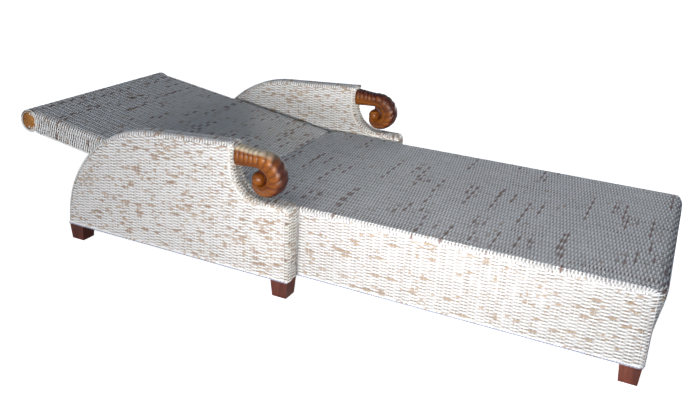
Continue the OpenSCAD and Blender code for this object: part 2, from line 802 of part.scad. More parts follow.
module back_board() {
    r = edge_r - skin_t + over;
    color(pole_tan) in_back() difference() {
        intersection() {
            slab(board_y, board_y + board_t) card(board_end, back_edge - skin_t - over, board_z0, frame_top, tr = r);
            translate([head_x, 0, 0]) rotate([90, 0, 90]) linear_extrude(-head_x)
                card(board_y, board_y + board_t, board_z0, frame_top, tr = r);
        }
        pole_y(board_y - over, board_y + board_t + over, head_x, head_z, head_pole_d + 2 * seat_fit);
        pole_y(board_y - over, board_y + board_t + over, pivot_x, pivot_z, bolt_d + 2 * run_fit);
    }
}

module back_cross_poles() {
    first = back_edge - skin_t - pole_r;
    last = head_x + head_pole_d / 2;
    d = pole_d - 4;
    color(pole_tan) in_back() for (i = [1 : back_poles])
        pole_y(-board_y, board_y, first + (last - first) * i / (back_poles + 1), frame_top - d / 2, d);
}

module back_head_pole() {
    color(scroll_brown) in_back() pole_y(-back_y, back_y, head_x, head_z, head_pole_d);
}

module back_weave() {
    z0 = hinge_depth - back_t;
    flat_y = back_y - edge_r;
    low = frame_top - pole_d;
    color(cane) in_back() difference() {
        union() {
            translate([head_x, -flat_y, hinge_depth - skin_t])
                cube([back_edge - seam_r - head_x, 2 * flat_y, skin_t]);
            edge_along_y(flat_y, back_edge, hinge_depth, seam_r);
            translate([back_edge - skin_t, -flat_y, low]) cube([skin_t, 2 * flat_y, hinge_depth - seam_r - low]);
            for (s = [-1, 1]) on_side(s) {
                edge_along_x(head_x, back_edge - seam_r, back_y, hinge_depth, edge_r);
                translate([head_x, back_y - skin_t, z0])
                    cube([back_edge - seam_r - head_x, skin_t, back_t - edge_r]);
            }
            difference() {
                pole_y(-back_y, back_y, head_x, head_z, 2 * roll_r);
                // Inside the sides the roll is open below, where the boards meet it
                translate([head_x, -board_y - board_t, head_z - 2 * roll_r])
                    cube([2 * roll_r, 2 * (board_y + board_t), 3 * roll_r - skin_t]);
            }
        }
        pole_y(-far, far, head_x, head_z, head_pole_d + 2 * seat_fit);
        leaf_holes(-1);
    }
}

// Stay that holds the backrest up

module stay_arm() {
    r = stay_h / 2;
    color(pole_tan) in_stay() difference() {
        slab(stay_y, stay_y + stay_t) card(-stay_len - r, r, -r, r, bl = r, br = r, tr = r, tl = r);
        pole_y(stay_y - over, stay_y + stay_t + over, 0, 0, bolt_d + 2 * run_fit);
        pole_y(stay_y - over, stay_y + stay_t + over, -stay_len, 0, bar_d + 2 * run_fit);
    }
}

module stay_foot_bar() {
    y = rack_y + rack_t - 1;
    color(pole_tan) in_stay() pole_y(-y, y, -stay_len, 0, bar_d);
}

module stay_bolts() {
    color(steel) in_back() for (s = [-1, 1]) on_side(s) {
        pole_y(stay_y - 1, board_y + board_t - 1, pivot_x, pivot_z, bolt_d);
        pole_y(stay_y - 4.3, stay_y - 0.3, pivot_x, pivot_z, 2 * bolt_d);
        pole_y(stay_y + stay_t + 0.3, board_y - seat_fit, pivot_x, pivot_z, 1.8 * bolt_d);
    }
}

leg(end_post_x, end_post_y, rail_z);  // leg_foot_left
leg(end_post_x, -end_post_y, rail_z);  // leg_foot_right
leg(mid_x, arm_y, mid_post_top);  // leg_mid_left
leg(mid_x, -arm_y, mid_post_top);  // leg_mid_right
leg(rear_post_x, arm_y, rear_post_top);  // leg_rear_left
leg(rear_post_x, -arm_y, rear_post_top);  // leg_rear_right
on_side(1) deck_rail();  // deck_rail_left
on_side(-1) deck_rail();  // deck_rail_right
on_side(1) sill();  // sill_left
on_side(-1) sill();  // sill_right
foot_rail();
foot_sill();
mid_sill();
mid_beam();
hinge_beam();
hinge_rail();
rear_sill();
back_stop_rail();
deck_cross_poles();
on_side(1) arm_sill();  // arm_sill_left
on_side(-1) arm_sill();  // arm_sill_right
on_side(1) arm_stiles();  // arm_stiles_left
on_side(-1) arm_stiles();  // arm_stiles_right
on_side(1) arm_hoop();  // arm_hoop_left
on_side(-1) arm_hoop();  // arm_hoop_right
on_side(1) arm_bend();  // arm_bend_left
on_side(-1) arm_bend();  // arm_bend_right
rack_beams();
on_side(1) rack();  // rack_left
on_side(-1) rack();  // rack_right
rack_screws();
deck_weave();
on_side(1) skirt();  // skirt_left
on_side(-1) skirt();  // skirt_right
skirt_foot();
rear_apron();
on_side(1) arm_weave();  // arm_weave_left
on_side(-1) arm_weave();  // arm_weave_right
on_side(1) scroll();  // scroll_left
on_side(-1) scroll();  // scroll_right
hinge_fixed_leaves();
hinge_pins();
hinge_screws_deck();
back_front_rail();
on_side(1) back_board();  // back_board_left
on_side(-1) back_board();  // back_board_right
back_cross_poles();
back_head_pole();
back_weave();
hinge_moving_leaves();
hinge_screws_back();
stay_bolts();
on_side(1) stay_arm();  // stay_arm_left
on_side(-1) stay_arm();  // stay_arm_right
stay_foot_bar();
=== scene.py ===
"""Looks of the rattan lounger: woven cane skins strand by strand, carved scrolls, wood and hardware.

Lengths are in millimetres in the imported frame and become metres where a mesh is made.
"""

import json
import math

import bpy
import numpy as np
from mathutils import Matrix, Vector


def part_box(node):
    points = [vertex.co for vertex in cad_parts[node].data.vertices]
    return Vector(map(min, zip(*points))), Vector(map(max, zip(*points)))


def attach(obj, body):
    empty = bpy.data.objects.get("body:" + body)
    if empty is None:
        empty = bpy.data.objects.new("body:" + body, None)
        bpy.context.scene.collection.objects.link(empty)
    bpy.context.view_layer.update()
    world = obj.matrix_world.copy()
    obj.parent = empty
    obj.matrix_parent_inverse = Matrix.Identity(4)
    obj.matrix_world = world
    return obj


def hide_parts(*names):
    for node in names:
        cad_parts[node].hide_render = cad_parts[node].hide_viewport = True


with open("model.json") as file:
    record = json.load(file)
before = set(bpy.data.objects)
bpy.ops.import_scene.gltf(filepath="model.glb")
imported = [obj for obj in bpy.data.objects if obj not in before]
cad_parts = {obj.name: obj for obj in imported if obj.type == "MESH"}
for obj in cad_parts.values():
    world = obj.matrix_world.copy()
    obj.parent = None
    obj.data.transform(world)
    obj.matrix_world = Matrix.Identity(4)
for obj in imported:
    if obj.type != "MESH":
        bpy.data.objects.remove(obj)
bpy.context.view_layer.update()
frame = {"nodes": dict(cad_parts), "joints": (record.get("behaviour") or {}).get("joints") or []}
MM = 0.001
rng = np.random.default_rng(7)


def xyz(x, y, z):
    """Points from three arrays or numbers."""
    return np.stack(np.broadcast_arrays(x, y, z), -1)


def unit(v):
    return v / np.maximum(np.linalg.norm(v, axis=-1), 1e-6)[..., None]


def power(v, exponent):
    """v to a power, with its sign kept."""
    return np.sign(v) * np.abs(v) ** exponent


def distances(points):
    """How far along a line of points each of them lies."""
    return np.concatenate([[0], np.cumsum(np.linalg.norm(np.diff(points, axis=0), axis=1))])


def box(node):
    return [np.array(c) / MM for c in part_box(node)]


# Sizes of the part, read from the frame or repeated from its source

deck_low, deck_high = box("deck_weave")
arm_low, arm_high = box("arm_weave_left")
hinge = np.array([j["pos_m"] for j in frame["joints"] if j["name"] == "back_recline"][0]) / MM

DECK_IN, DECK_Y = deck_low[0], deck_high[1]
FOOT_X, SEAT_H = deck_high[0], deck_high[2]
FRONT_X, FOOT_H = arm_high[0], box("skirt_left")[0][2]
ARM_IN, ARM_OUT = arm_low[1], arm_high[1]
REAR_X = arm_low[0]
BACK_Y, APRON_Y = box("back_head_pole")[1][1], box("rear_apron")[1][1]
EDGE_R, SEAM_R, BAND_R, SKIN_T = 15, 10, 10, 6
ARM_REAR_R, ARM_SLOPE = 380, 3.9
SCROLL_BACK, NOSE_R, TOE_RISE, TOE_R = 187, 90, 18, 20
BACK_REST, BACK_LEN, BACK_T = 8.4, 806, 75
HINGE_GAP, HINGE_DEPTH = 7, 6
HEAD_POLE_R, HEAD_WRAP = 29, 11
POLE_R = 14

FACE_X = FRONT_X - SCROLL_BACK
ARM_Y = (ARM_IN + ARM_OUT) / 2
SLOPE = math.radians(ARM_SLOPE)
ARC = np.array([REAR_X + ARM_REAR_R, FOOT_H])
TOP = ARC + ARM_REAR_R * np.array([-math.sin(SLOPE), math.cos(SLOPE)])
FACE_TOP = TOP[1] + (FACE_X - TOP[0]) * math.tan(SLOPE)
TOE_Z = SEAT_H + TOE_RISE
NOSE = np.array([FACE_X + NOSE_R, TOE_Z + NOSE_R])

# Cane: width of a woven strand, spacing of the stakes it passes and points on it for each stake.
# Depth of its waves on upright skins and on the deck and backrest, and how far the crests stand out
ROW, STAKE, RINGS = 4.75, 24.0, 4
WAVE, TOP_WAVE, TOP_CREST = 1.35, 2.0, 0.7
STRAND_T, STAKE_R, STAKE_DEEP, PROUD = 0.95, 1.9, 0.72, 0.4
# Lining under the weave: depth and thickness
LINING_DEEP, LINING_T = 5.0, 0.4
# Lower borders: height kept free of rows, then radius, lay, height and depth of the rope in it,
# and the same of the thin binding under the rope
BORDER = 9
ROPE_R, ROPE_LAY, ROPE_UP, ROPE_IN, SKIRT_ROPE_IN = 4.1, 16, 4.2, 3.4, 3.6
BIND_R, BIND_LAY, BIND_IN, SKIRT_BIND_UP, ARM_BIND_UP = 2.6, 22, 1.6, 0.6, 0.8
# Hollow front of the arm panels: width and lay of its plait
PLAIT_W, PLAIT_LAY = 12, 26
# How far the skirts' rows run on into the arm panels
SKIRT_TUCK = BAND_R + 4
# Foot end: how far it swells, over what length, and how far its corners are drawn in
FOOT_SWELL, SWELL_LEN, CORNER_DRAW = 20, 4 * EDGE_R, 0.7
SIDES = (("left", 1), ("right", -1))


class Nodes:
    """Short hand for the nodes of a material or of the world."""

    def __init__(self, owner):
        self.owner = owner
        owner.use_nodes = True
        self.nt = owner.node_tree
        self.bsdf = self.nt.nodes.get("Principled BSDF")

    def add(self, kind, **values):
        node = self.nt.nodes.new("ShaderNode" + kind)
        for key, value in values.items():
            setattr(node, key, value)
        return node

    def put(self, v, socket):
        """Gives a socket a number, a colour or another node's output."""
        if isinstance(v, (int, float)):
            socket.default_value = v
        elif isinstance(v, tuple):
            socket.default_value = (*v, 1)
        else:
            self.nt.links.new(v, socket)

    def maths(self, op, a, b, clamp=False):
        node = self.add("Math", operation=op, use_clamp=clamp)
        self.put(a, node.inputs[0])
        self.put(b, node.inputs[1])
        return node.outputs[0]

    def vector(self, *parts):
        node = self.add("CombineXYZ")
        for v, socket in zip(parts, node.inputs):
            self.put(v, socket)
        return node.outputs[0]

    def noise(self, where, scale, detail=2.0, rough=0.5, distortion=0.0):
        node = self.add("TexNoise")
        self.put(where, node.inputs["Vector"])
        for key, v in zip(("Scale", "Detail", "Roughness", "Distortion"), (scale, detail, rough, distortion)):
            self.put(v, node.inputs[key])
        return node.outputs["Fac"]

    def ramp(self, fac, stops):
        node = self.add("ValToRGB")
        el = node.color_ramp.elements
        while len(el) < len(stops):
            el.new(0.5)
        for e, (at, colour) in zip(el, stops):
            e.position, e.color = at, (*colour, 1)
        self.put(fac, node.inputs["Fac"])
        return node.outputs["Color"]

    def mix(self, fac, a, b, mode="MIX"):
        node = self.add("Mix", data_type="RGBA", blend_type=mode)
        first, second = (s for s in node.inputs if s.type == "RGBA")
        for v, socket in ((fac, node.inputs[0]), (a, first), (b, second)):
            self.put(v, socket)
        return next(s for s in node.outputs if s.type == "RGBA")

    def attribute(self, name):
        return self.add("Attribute", attribute_name=name).outputs["Fac"]

    def place(self, scale=None):
        """Object coordinates, each axis scaled."""
        co = self.add("TexCoord").outputs["Object"]
        if scale is None:
            return co
        node = self.add("Mapping")
        self.put(co, node.inputs["Vector"])
        node.inputs["Scale"].default_value = scale
        return node.outputs[0]

    def bump(self, height, strength, distance):
        node = self.add("Bump")
        for key, v in (("Strength", strength), ("Distance", distance), ("Height", height)):
            self.put(v, node.inputs[key])
        self.put(node.outputs[0], self.bsdf.inputs["Normal"])

    def shine(self, **values):
        for key, v in values.items():
            self.put(v, self.bsdf.inputs[key.replace("_", " ")])

    def seen(self, others, camera):
        """One shader for the camera's own rays and one for all others."""
        node = self.add("MixShader")
        for v, socket in zip((self.add("LightPath").outputs["Is Camera Ray"], others, camera), node.inputs):
            self.put(v, socket)
        return node.outputs[0]


# Camera and light


def stand(data, axes, place):
    """A camera or light at place, with its right, up and back axes."""
    ob = bpy.data.objects.new(data.name, data)
    ob.matrix_world = Matrix([[*(a[i] for a in axes), place[i]] for i in range(3)] + [[0, 0, 0, 1]])
    bpy.context.scene.collection.objects.link(ob)
    return ob


def place_camera():
    """Stands the camera where the photograph was taken from."""
    data = bpy.data.cameras.new("camera")
    data.lens, data.sensor_width = 39.52, 36
    data.shift_x, data.shift_y = -0.0019, -0.0487
    right = (0.89959782, 0.43445957, 0.04436934)
    up = (-0.18812091, 0.29381717, 0.937167)
    back = (0.3941247, -0.8514202, 0.34604822)
    bpy.context.scene.camera = stand(data, (right, up, back), (1.0581, -2.1748, 1.1397))


def area_light(name, place, target, size, power, colour, spread=180, gleam=1):
    """A rectangle of light that faces target; gleam is its share in reflections."""
    data = bpy.data.lights.new(name, "AREA")
    data.shape, data.size, data.size_y = "RECTANGLE", size[0], size[1]
    data.energy, data.color, data.spread = power, colour, math.radians(spread)
    data.specular_factor = gleam
    z = unit(np.array(place) - target)
    x = unit(np.cross((0, 0, 1), z))
    stand(data, (x, np.cross(z, x), z), place)


def sky(horizon, zenith):
    """A soft cool studio: brighter at the horizon than overhead, white where the camera sees it."""
    world = bpy.data.worlds.new("studio")
    bpy.context.scene.world = world
    n = Nodes(world)
    split = n.add("SeparateXYZ")
    n.put(n.add("TexCoord").outputs["Generated"], split.inputs[0])
    back, white = n.nt.nodes["Background"], n.add("Background")
    n.put(n.ramp(split.outputs["Z"], [(0, horizon), (0.8, zenith)]), back.inputs["Color"])
    n.put((1, 1, 1), white.inputs["Color"])
    n.put(n.seen(back.outputs[0], white.outputs[0]), n.nt.nodes["World Output"].inputs["Surface"])


def card(name, corners, colour):
    """A flat piece of the studio and its material's nodes."""
    me = bpy.data.meshes.new(name)
    me.from_pydata(corners, [], [(0, 1, 2, 3)])
    ob = bpy.data.objects.new(name, me)
    bpy.context.scene.collection.objects.link(ob)
    n = Nodes(bpy.data.materials.new("studio_" + name))
    n.shine(Base_Color=colour)
    me.materials.append(n.owner)
    return ob, n


def floor(half, glow):
    """A matt floor, white where the camera sees it."""
    _, n = card("floor", [(-half, -half, 0), (half, -half, 0), (half, half, 0), (-half, half, 0)],
                (0.82, 0.82, 0.82))
    n.shine(Roughness=0.9, Specular_IOR_Level=0)
    white, dark, both = n.add("Emission"), n.add("Emission"), n.add("AddShader")
    n.put(glow, white.inputs["Strength"])
    n.put(0, dark.inputs["Strength"])
    n.put(n.bsdf.outputs[0], both.inputs[0])
    n.put(n.seen(dark.outputs[0], white.outputs[0]), both.inputs[1])
    n.put(both.outputs[0], n.nt.nodes["Material Output"].inputs["Surface"])


def dark_card(x, y, high):
    """A dark bluish card on the floor beside the foot end, out of the camera's sight."""
    ob, _ = card("dark_card", [(x, -y, 0), (x, y, 0), (x, y, high), (x, -y, high)], (0.16, 0.20, 0.28))
    ob.visible_camera = False


place_camera()
sky((0.24, 0.29, 0.36), (0.165, 0.19, 0.235))
area_light("key", (0.2, -4.2, 0.60), (1.3, 0, 0.2), (1.6, 0.8), 57, (1.0, 0.99, 0.98), 100)
area_light("cross", (1.9, -2.4, 0.42), (-0.12, 0.38, 0.36), (0.6, 0.3), 1.9, (1.0, 0.985, 0.94), 24)
area_light("rear", (0.2, 3.4, 0.42), (0.2, 0, 0.2), (3.0, 0.5), 20, (1.0, 0.98, 0.96), 120, 0)
area_light("top", (1.9, -0.5, 1.9), (0.9, 0, 0.27), (1.5, 1.5), 9.5, (0.93, 0.965, 1.0))
floor(14, 0.95)
dark_card(1.12, 0.42, 0.36)
view = bpy.context.scene.view_settings
view.view_transform, view.look = "Standard", "None"

# Materials


def cane_material(name, white, peel, brown, dive=0.95, sharp=2.6, dash=34.0, seed=0.0, patchy=0.3,
                  stretch=7.0, tan=(0.60, 0.47, 0.36), dark=(0.20, 0.12, 0.075), dived=(0.48, 0.40, 0.33)):
    """Whitewashed cane. Its colour runs along each strand: mostly limewash, with tan and brown stretches.

    white is the limewash and tan the short worn stretches, dash of them a metre, more of them with peel.
    dark is the colour of the long brown stretches, fewer with brown and shorter with stretch. dive is
    how far the colour turns to dived where a strand dives behind a stake, over a shorter stretch with
    larger sharp; dived is partly bare cane the limewash missed and partly painted shade in the recess.
    patchy gathers the worn stretches.
    """
    n = Nodes(bpy.data.materials.new(name))
    xyz_of = n.add("SeparateXYZ")
    n.put(n.add("UVMap", uv_map="strand").outputs[0], xyz_of.inputs[0])
    along, number = xyz_of.outputs[0], xyz_of.outputs[1]
    whole, part = n.maths("FLOOR", number, 0), n.maths("FRACT", number, 0)

    def at(per_m, step, third):
        """A place for noise: per_m along the strand, step from one strand to the next."""
        return n.vector(n.maths("MULTIPLY", along, per_m), n.maths("MULTIPLY", whole, step), third)

    def streak(per_m, shift, detail):
        return n.noise(at(per_m, 7.37, seed + shift), 1.0, detail, 0.55)

    def blend(share, a, b):
        return tuple(share * x + (1 - share) * y for x, y in zip(a, b))

    # Worn patches several strands wide
    patch = n.noise(at(7, 0.17, seed), 1.0)
    worn = n.maths("ADD", streak(dash, 0.0, 2.0),
                   n.maths("MULTIPLY", n.maths("SUBTRACT", patch, 0.5), patchy))
    wash = n.ramp(worn, [
        (peel - 0.07, blend(0.75, tan, dark)), (peel - 0.01, tan), (peel + 0.03, blend(0.5, white, tan)),
        (peel + 0.07, white), (0.78, tuple(min(0.9, w * 1.08) for w in white))])
    aged = n.add("RGBToBW")
    n.put(n.ramp(streak(stretch, 31.0, 1.0), [(brown, (0, 0, 0)), (brown + 0.03, (1, 1, 1))]), aged.inputs[0])
    colour = n.mix(n.maths("MULTIPLY", aged.outputs[0], 0.9), wash, dark)
    # Where a strand dives behind a stake its colour turns to dived, more so at some stakes than at others:
    # partly bare cane that the wash didn't reach, partly painted shade in the recess
    stakes = n.noise(at(36, 0.06, seed + 5), 1.0, 1.0)
    deep = n.maths("MULTIPLY", n.maths("POWER", n.attribute("deep"), sharp),
                   n.maths("ADD", n.maths("MULTIPLY", stakes, 1.3), 0.2, True))
    colour = n.mix(n.maths("MULTIPLY", deep, dive), colour, dived)
    grain = n.noise(at(55, 7.37, n.maths("MULTIPLY", part, 9)), 1.0, 3.0, 0.6)
    tone = n.ramp(grain, [(0.25, (0.84, 0.83, 0.82)), (0.6, (1.0, 1.0, 1.0)), (0.8, (1.05, 1.05, 1.05))])
    n.shine(Base_Color=n.mix(1.0, colour, tone, "MULTIPLY"), Specular_IOR_Level=0.35,
            Roughness=n.ramp(grain, [(0.3, (0.60, 0.60, 0.60)), (0.7, (0.42, 0.42, 0.42))]))
    n.bump(grain, 0.35, 0.0006)
    return n.owner


def wood_material(name, light, mid, dark, along, ring, gloss, rough, attribute=None,
                  stain=(0.06, 0.016, 0.01), painted_highlight=(0.80, 0.68, 0.48)):
    """Oiled or varnished wood. along is the grain's axis, attribute names where the stain is deepest.
    On the scrolls that stain is partly painted shade, and painted_highlight mixes in a painted highlight.
    """
    n = Nodes(bpy.data.materials.new(name))
    where = n.place([0.12 if i == along else 1.0 for i in range(3)])
    grain = n.noise(where, 9 * ring, 5.0, 0.62, 0.8)
    fibre = n.noise(n.place([0.05 if i == along else 1.0 for i in range(3)]), 120 * ring, 2.0, 0.6)
    wide = n.noise(where, 2.2 * ring)
    colour = n.ramp(grain, [(0.30, dark), (0.50, mid), (0.72, light)])
    shade = n.ramp(wide, [(0.3, (0.72, 0.68, 0.64)), (0.65, (1.1, 1.1, 1.1))])
    colour = n.mix(1.0, colour, shade, "MULTIPLY")
    pores = n.ramp(fibre, [(0.36, (0.62, 0.55, 0.5)), (0.5, (1, 1, 1))])
    colour = n.mix(0.8, colour, pores, "MULTIPLY")
    if attribute:
        colour = n.mix(n.attribute(attribute), colour, stain)
        # A painted highlight, mixed in where the painted_highlight attribute is high
        colour = n.mix(n.attribute("painted_highlight"), colour, painted_highlight)
    n.bump(fibre, 0.25, 0.0004)
    n.shine(Base_Color=colour, Coat_Weight=gloss, Coat_Roughness=0.3, Specular_IOR_Level=0.22,
            Roughness=n.ramp(grain, [(0.3, (rough + 0.12,) * 3), (0.7, (rough - 0.05,) * 3)]))
    return n.owner


def pole_material():
    """Plain peeled rattan poles, for the hidden frame."""
    n = Nodes(bpy.data.materials.new("rattan_pole"))
    co = n.place()
    blotch, fibre = n.noise(co, 14, 4.0, 0.6), n.noise(co, 160, 3.0, 0.7)
    colour = n.ramp(blotch, [(0.3, (0.42, 0.27, 0.13)), (0.5, (0.58, 0.41, 0.23)), (0.7, (0.68, 0.53, 0.34))])
    pores = n.ramp(fibre, [(0.35, (0.7, 0.62, 0.55)), (0.55, (1, 1, 1))])
    n.shine(Base_Color=n.mix(0.7, colour, pores, "MULTIPLY"), Roughness=0.52)
    n.bump(fibre, 0.2, 0.0005)
    return n.owner


def steel_material():
    """Brushed steel of hinges, bolts and screws."""
    n = Nodes(bpy.data.materials.new("brushed_steel"))
    brush = n.noise(n.place([1, 0.06, 1]), 900, 2.0, 0.6)
    stain = n.noise(n.place(), 60, 3.0, 0.6)
    n.shine(Base_Color=n.ramp(stain, [(0.35, (0.36, 0.34, 0.32)), (0.6, (0.60, 0.60, 0.61))]),
            Roughness=n.ramp(brush, [(0.3, (0.46,) * 3), (0.7, (0.28,) * 3)]), Metallic=1.0)
    n.bump(brush, 0.15, 0.0002)
    return n.owner


# The dived colours are partly bare cane and partly painted shade where strands dive behind stakes
cane_side = cane_material(
    "cane_side", (0.77, 0.77, 0.77), peel=0.325, brown=0.655, sharp=1.4, dash=42.0, stretch=9.0,
    tan=(0.54, 0.41, 0.30), dark=(0.42, 0.28, 0.16), dived=(0.24, 0.195, 0.16))
cane_top = cane_material(
    "cane_top", (0.86, 0.87, 0.88), peel=0.30, brown=0.645, sharp=1.1, dash=30.0, stretch=3.2,
    seed=11.0, patchy=0.15, dark=(0.22, 0.095, 0.06), dived=(0.24, 0.20, 0.18))
cane_back = cane_material(
    "cane_back", (0.90, 0.90, 0.88), peel=0.35, brown=0.63, sharp=1.1, dash=24.0, stretch=3.6,
    seed=51.0, dark=(0.22, 0.10, 0.06), dived=(0.26, 0.22, 0.20))
cane_arm = cane_material(
    "cane_arm", (0.88, 0.875, 0.865), peel=0.365, brown=0.64, sharp=1.9, dash=30.0, stretch=13.0,
    seed=23.0, patchy=0.35, tan=(0.60, 0.45, 0.32), dark=(0.42, 0.26, 0.15), dived=(0.34, 0.28, 0.235))
cane_edge = cane_material(
    "cane_edge", (0.82, 0.81, 0.78), peel=0.38, brown=0.62, sharp=1.6, dash=30.0, seed=37.0,
    dived=(0.26, 0.19, 0.13))
# Slate blue-grey cane for the bindings along the lower edges: painted shade, coloured as the shaded edge
cane_painted_shade = cane_material("cane_painted_shade", (0.30, 0.33, 0.42), peel=0.30, brown=0.66, dive=0.5, seed=71.0)
# On the scrolls, stain is partly painted shade on the rim and in the gap, and painted_highlight is a painted
# highlight
scroll_wood = wood_material(
    "scroll_wood", (0.37, 0.125, 0.010), (0.21, 0.058, 0.005), (0.085, 0.019, 0.002), along=0,
    ring=1.6, gloss=0.22, rough=0.36, attribute="stain", stain=(0.045, 0.009, 0.005))
disc_wood = wood_material(
    "head_pole_wood", (0.70, 0.34, 0.090), (0.56, 0.24, 0.050), (0.30, 0.11, 0.022), along=1,
    ring=2.2, gloss=0.3, rough=0.42, attribute="stain")
foot_wood = wood_material(
    "foot_wood", (0.20, 0.058, 0.034), (0.12, 0.031, 0.020), (0.042, 0.011, 0.007), along=2,
    ring=2.6, gloss=0.3, rough=0.42)
rattan_pole = pole_material()
steel = steel_material()

# Meshes from arrays


def mesh_object(name, verts, faces, layers, points, mat, body, nodes):
    """A mesh object from arrays. Each array in faces holds faces of one number of corners.

    layers are the maps by name, points the numbers given to each vertex.
    """
    corners = np.concatenate([np.full(len(f), f.shape[1]) for f in faces])
    me = bpy.data.meshes.new(name)
    me.vertices.add(len(verts))
    me.vertices.foreach_set("co", (np.asarray(verts, np.float64) * MM).astype(np.float32).ravel())
    me.loops.add(int(corners.sum()))
    me.loops.foreach_set("vertex_index", np.concatenate([f.ravel() for f in faces]).astype(np.int32))
    me.polygons.add(len(corners))
    me.polygons.foreach_set("loop_start", (np.cumsum(corners) - corners).astype(np.int32))
    me.update(calc_edges=True)
    for key, uv in layers.items():
        layer = me.uv_layers.new(name=key)
        layer.data.foreach_set("uv", np.asarray(uv, np.float32).ravel())
    for key, values in points.items():
        at = me.attributes.new(key, "FLOAT", "POINT")
        at.data.foreach_set("value", np.asarray(values, np.float32))
    me.polygons.foreach_set("use_smooth", np.ones(len(corners), bool))
    me.materials.append(mat)
    me.validate()
    ob = bpy.data.objects.new(name, me)
    bpy.context.scene.collection.objects.link(ob)
    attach(ob, body)
    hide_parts(*nodes)


def tube(rings, around, first=0, turned=False):
    """Quads between closed rings of points whose numbers start at first; turned faces them the other way."""
    k, j = np.arange(rings - 1)[:, None], np.arange(around)[None]
    a, b = np.broadcast_arrays(k * around + j, k * around + (j + 1) % around)
    quads = np.stack([a, b, b + around, a + around], -1).reshape(-1, 4) + first
    return quads[:, [0, 3, 2, 1]] if turned else quads


def caps(rings, around, first=0, turned=False):
    """The two end faces of such a tube."""
    ends = np.stack([np.arange(around)[::-1], np.arange(around) + (rings - 1) * around]) + first
    return ends[:, ::-1] if turned else ends


# Corners of a strand's section: flat below, with a rounded top
SECTION = np.radians([-12, 52, 128, 192, 270])
# The map gives each strand a lane with a margin, and its rounded ends a place beyond its length
LANE_EDGE, END_ROOM, END_R = 0.04, 2, 0.6
# Room for a lining in the map, counted in strands
SHEET_LANES = 8


def strand_mesh(name, strands, mat, body, nodes, sheets=()):
    """One object from many strands and the sheets that line them.

    A strand is (centres, half widths across, half heights outwards, deep); deep turns its colour towards
    the dived colour, partly painted shade.
    """
    m = len(SECTION)
    c, s = np.cos(SECTION)[None, :, None], np.sin(SECTION)[None, :, None]
    flat = np.where(s < -0.5, 0.8 * s, s)
    tip = np.stack([END_R * np.cos(SECTION), 0.5 + 0.4 * np.sin(SECTION)], -1)
    verts, faces, bake, strand_uv, deeps = [], [], [], [], []
    first = 0
    longest = max(distances(strand[0])[-1] for strand in strands)
    lanes = len(strands) + len(sheets) * SHEET_LANES
    for i, (centre, across, out, deep) in enumerate(strands):
        n = len(centre)
        if np.einsum("ij,ij->", np.cross(across, out), np.gradient(centre, axis=0)) < 0:
            across = -across
        verts.append((centre[:, None] + across[:, None] * c + out[:, None] * flat).reshape(-1, 3))
        deeps.append(np.repeat(deep, m))
        faces += [tube(n, m, first), caps(n, m, first)]
        length = distances(centre)
        u0, u1 = np.repeat(length[:-1], m), np.repeat(length[1:], m)
        v0 = np.tile(np.arange(m) / m, n - 1)
        v1 = v0 + 1 / m
        corner = np.concatenate([np.stack([u0, v0, u0, v1, u1, v1, u1, v0], -1).reshape(-1, 2),
                                 tip[::-1], tip + (length[-1], 0)])
        bake.append(np.stack([(corner[:, 0] + END_ROOM) / (longest + 2 * END_ROOM),
                              (i + LANE_EDGE + (1 - 2 * LANE_EDGE) * corner[:, 1]) / lanes], -1))
        strand_uv.append(np.stack([corner[:, 0] * MM, i + 0.02 + 0.96 * corner[:, 1]], -1))
        first += n * m
    for i, (points, quads, where, plan) in enumerate(sheets):
        verts.append(points)
        # The linings take the full dived colour: painted shade seen through the gaps between the strands
        deeps.append(np.ones(len(points)))
        faces.append(quads + first)
        corner = plan[quads.reshape(-1)]
        lane = (len(strands) + (i + 0.02 + 0.96 * corner[:, 1]) * SHEET_LANES) / lanes
        bake.append(np.stack([corner[:, 0], lane], -1))
        strand_uv.append(where[quads.reshape(-1)])
        first += len(points)
    mesh_object(name, np.concatenate(verts), faces,
                {"OFBake": np.concatenate(bake), "strand": np.concatenate(strand_uv)},
                {"deep": np.concatenate(deeps)}, mat, body, nodes)


def runs(reach, keep=None):
    """The unbroken stretches of a range where keep is true."""
    if keep is None:
        return [reach]
    at = np.arange(reach[0], reach[1] + 1, 2.0)
    edges = np.flatnonzero(np.diff(np.concatenate([[0], keep(at).astype(int), [0]])))
    return [(at[a], at[b - 1]) for a, b in zip(edges[::2], edges[1::2]) if b - a > 3]


def wander(n, size, reach):
    """Smooth random values for n points: size is their spread, reach how many points one swing takes."""
    knots = rng.normal(0, size, max(2, int(n / reach) + 2))
    return np.interp(np.linspace(0, len(knots) - 1, n), np.arange(len(knots)), knots)


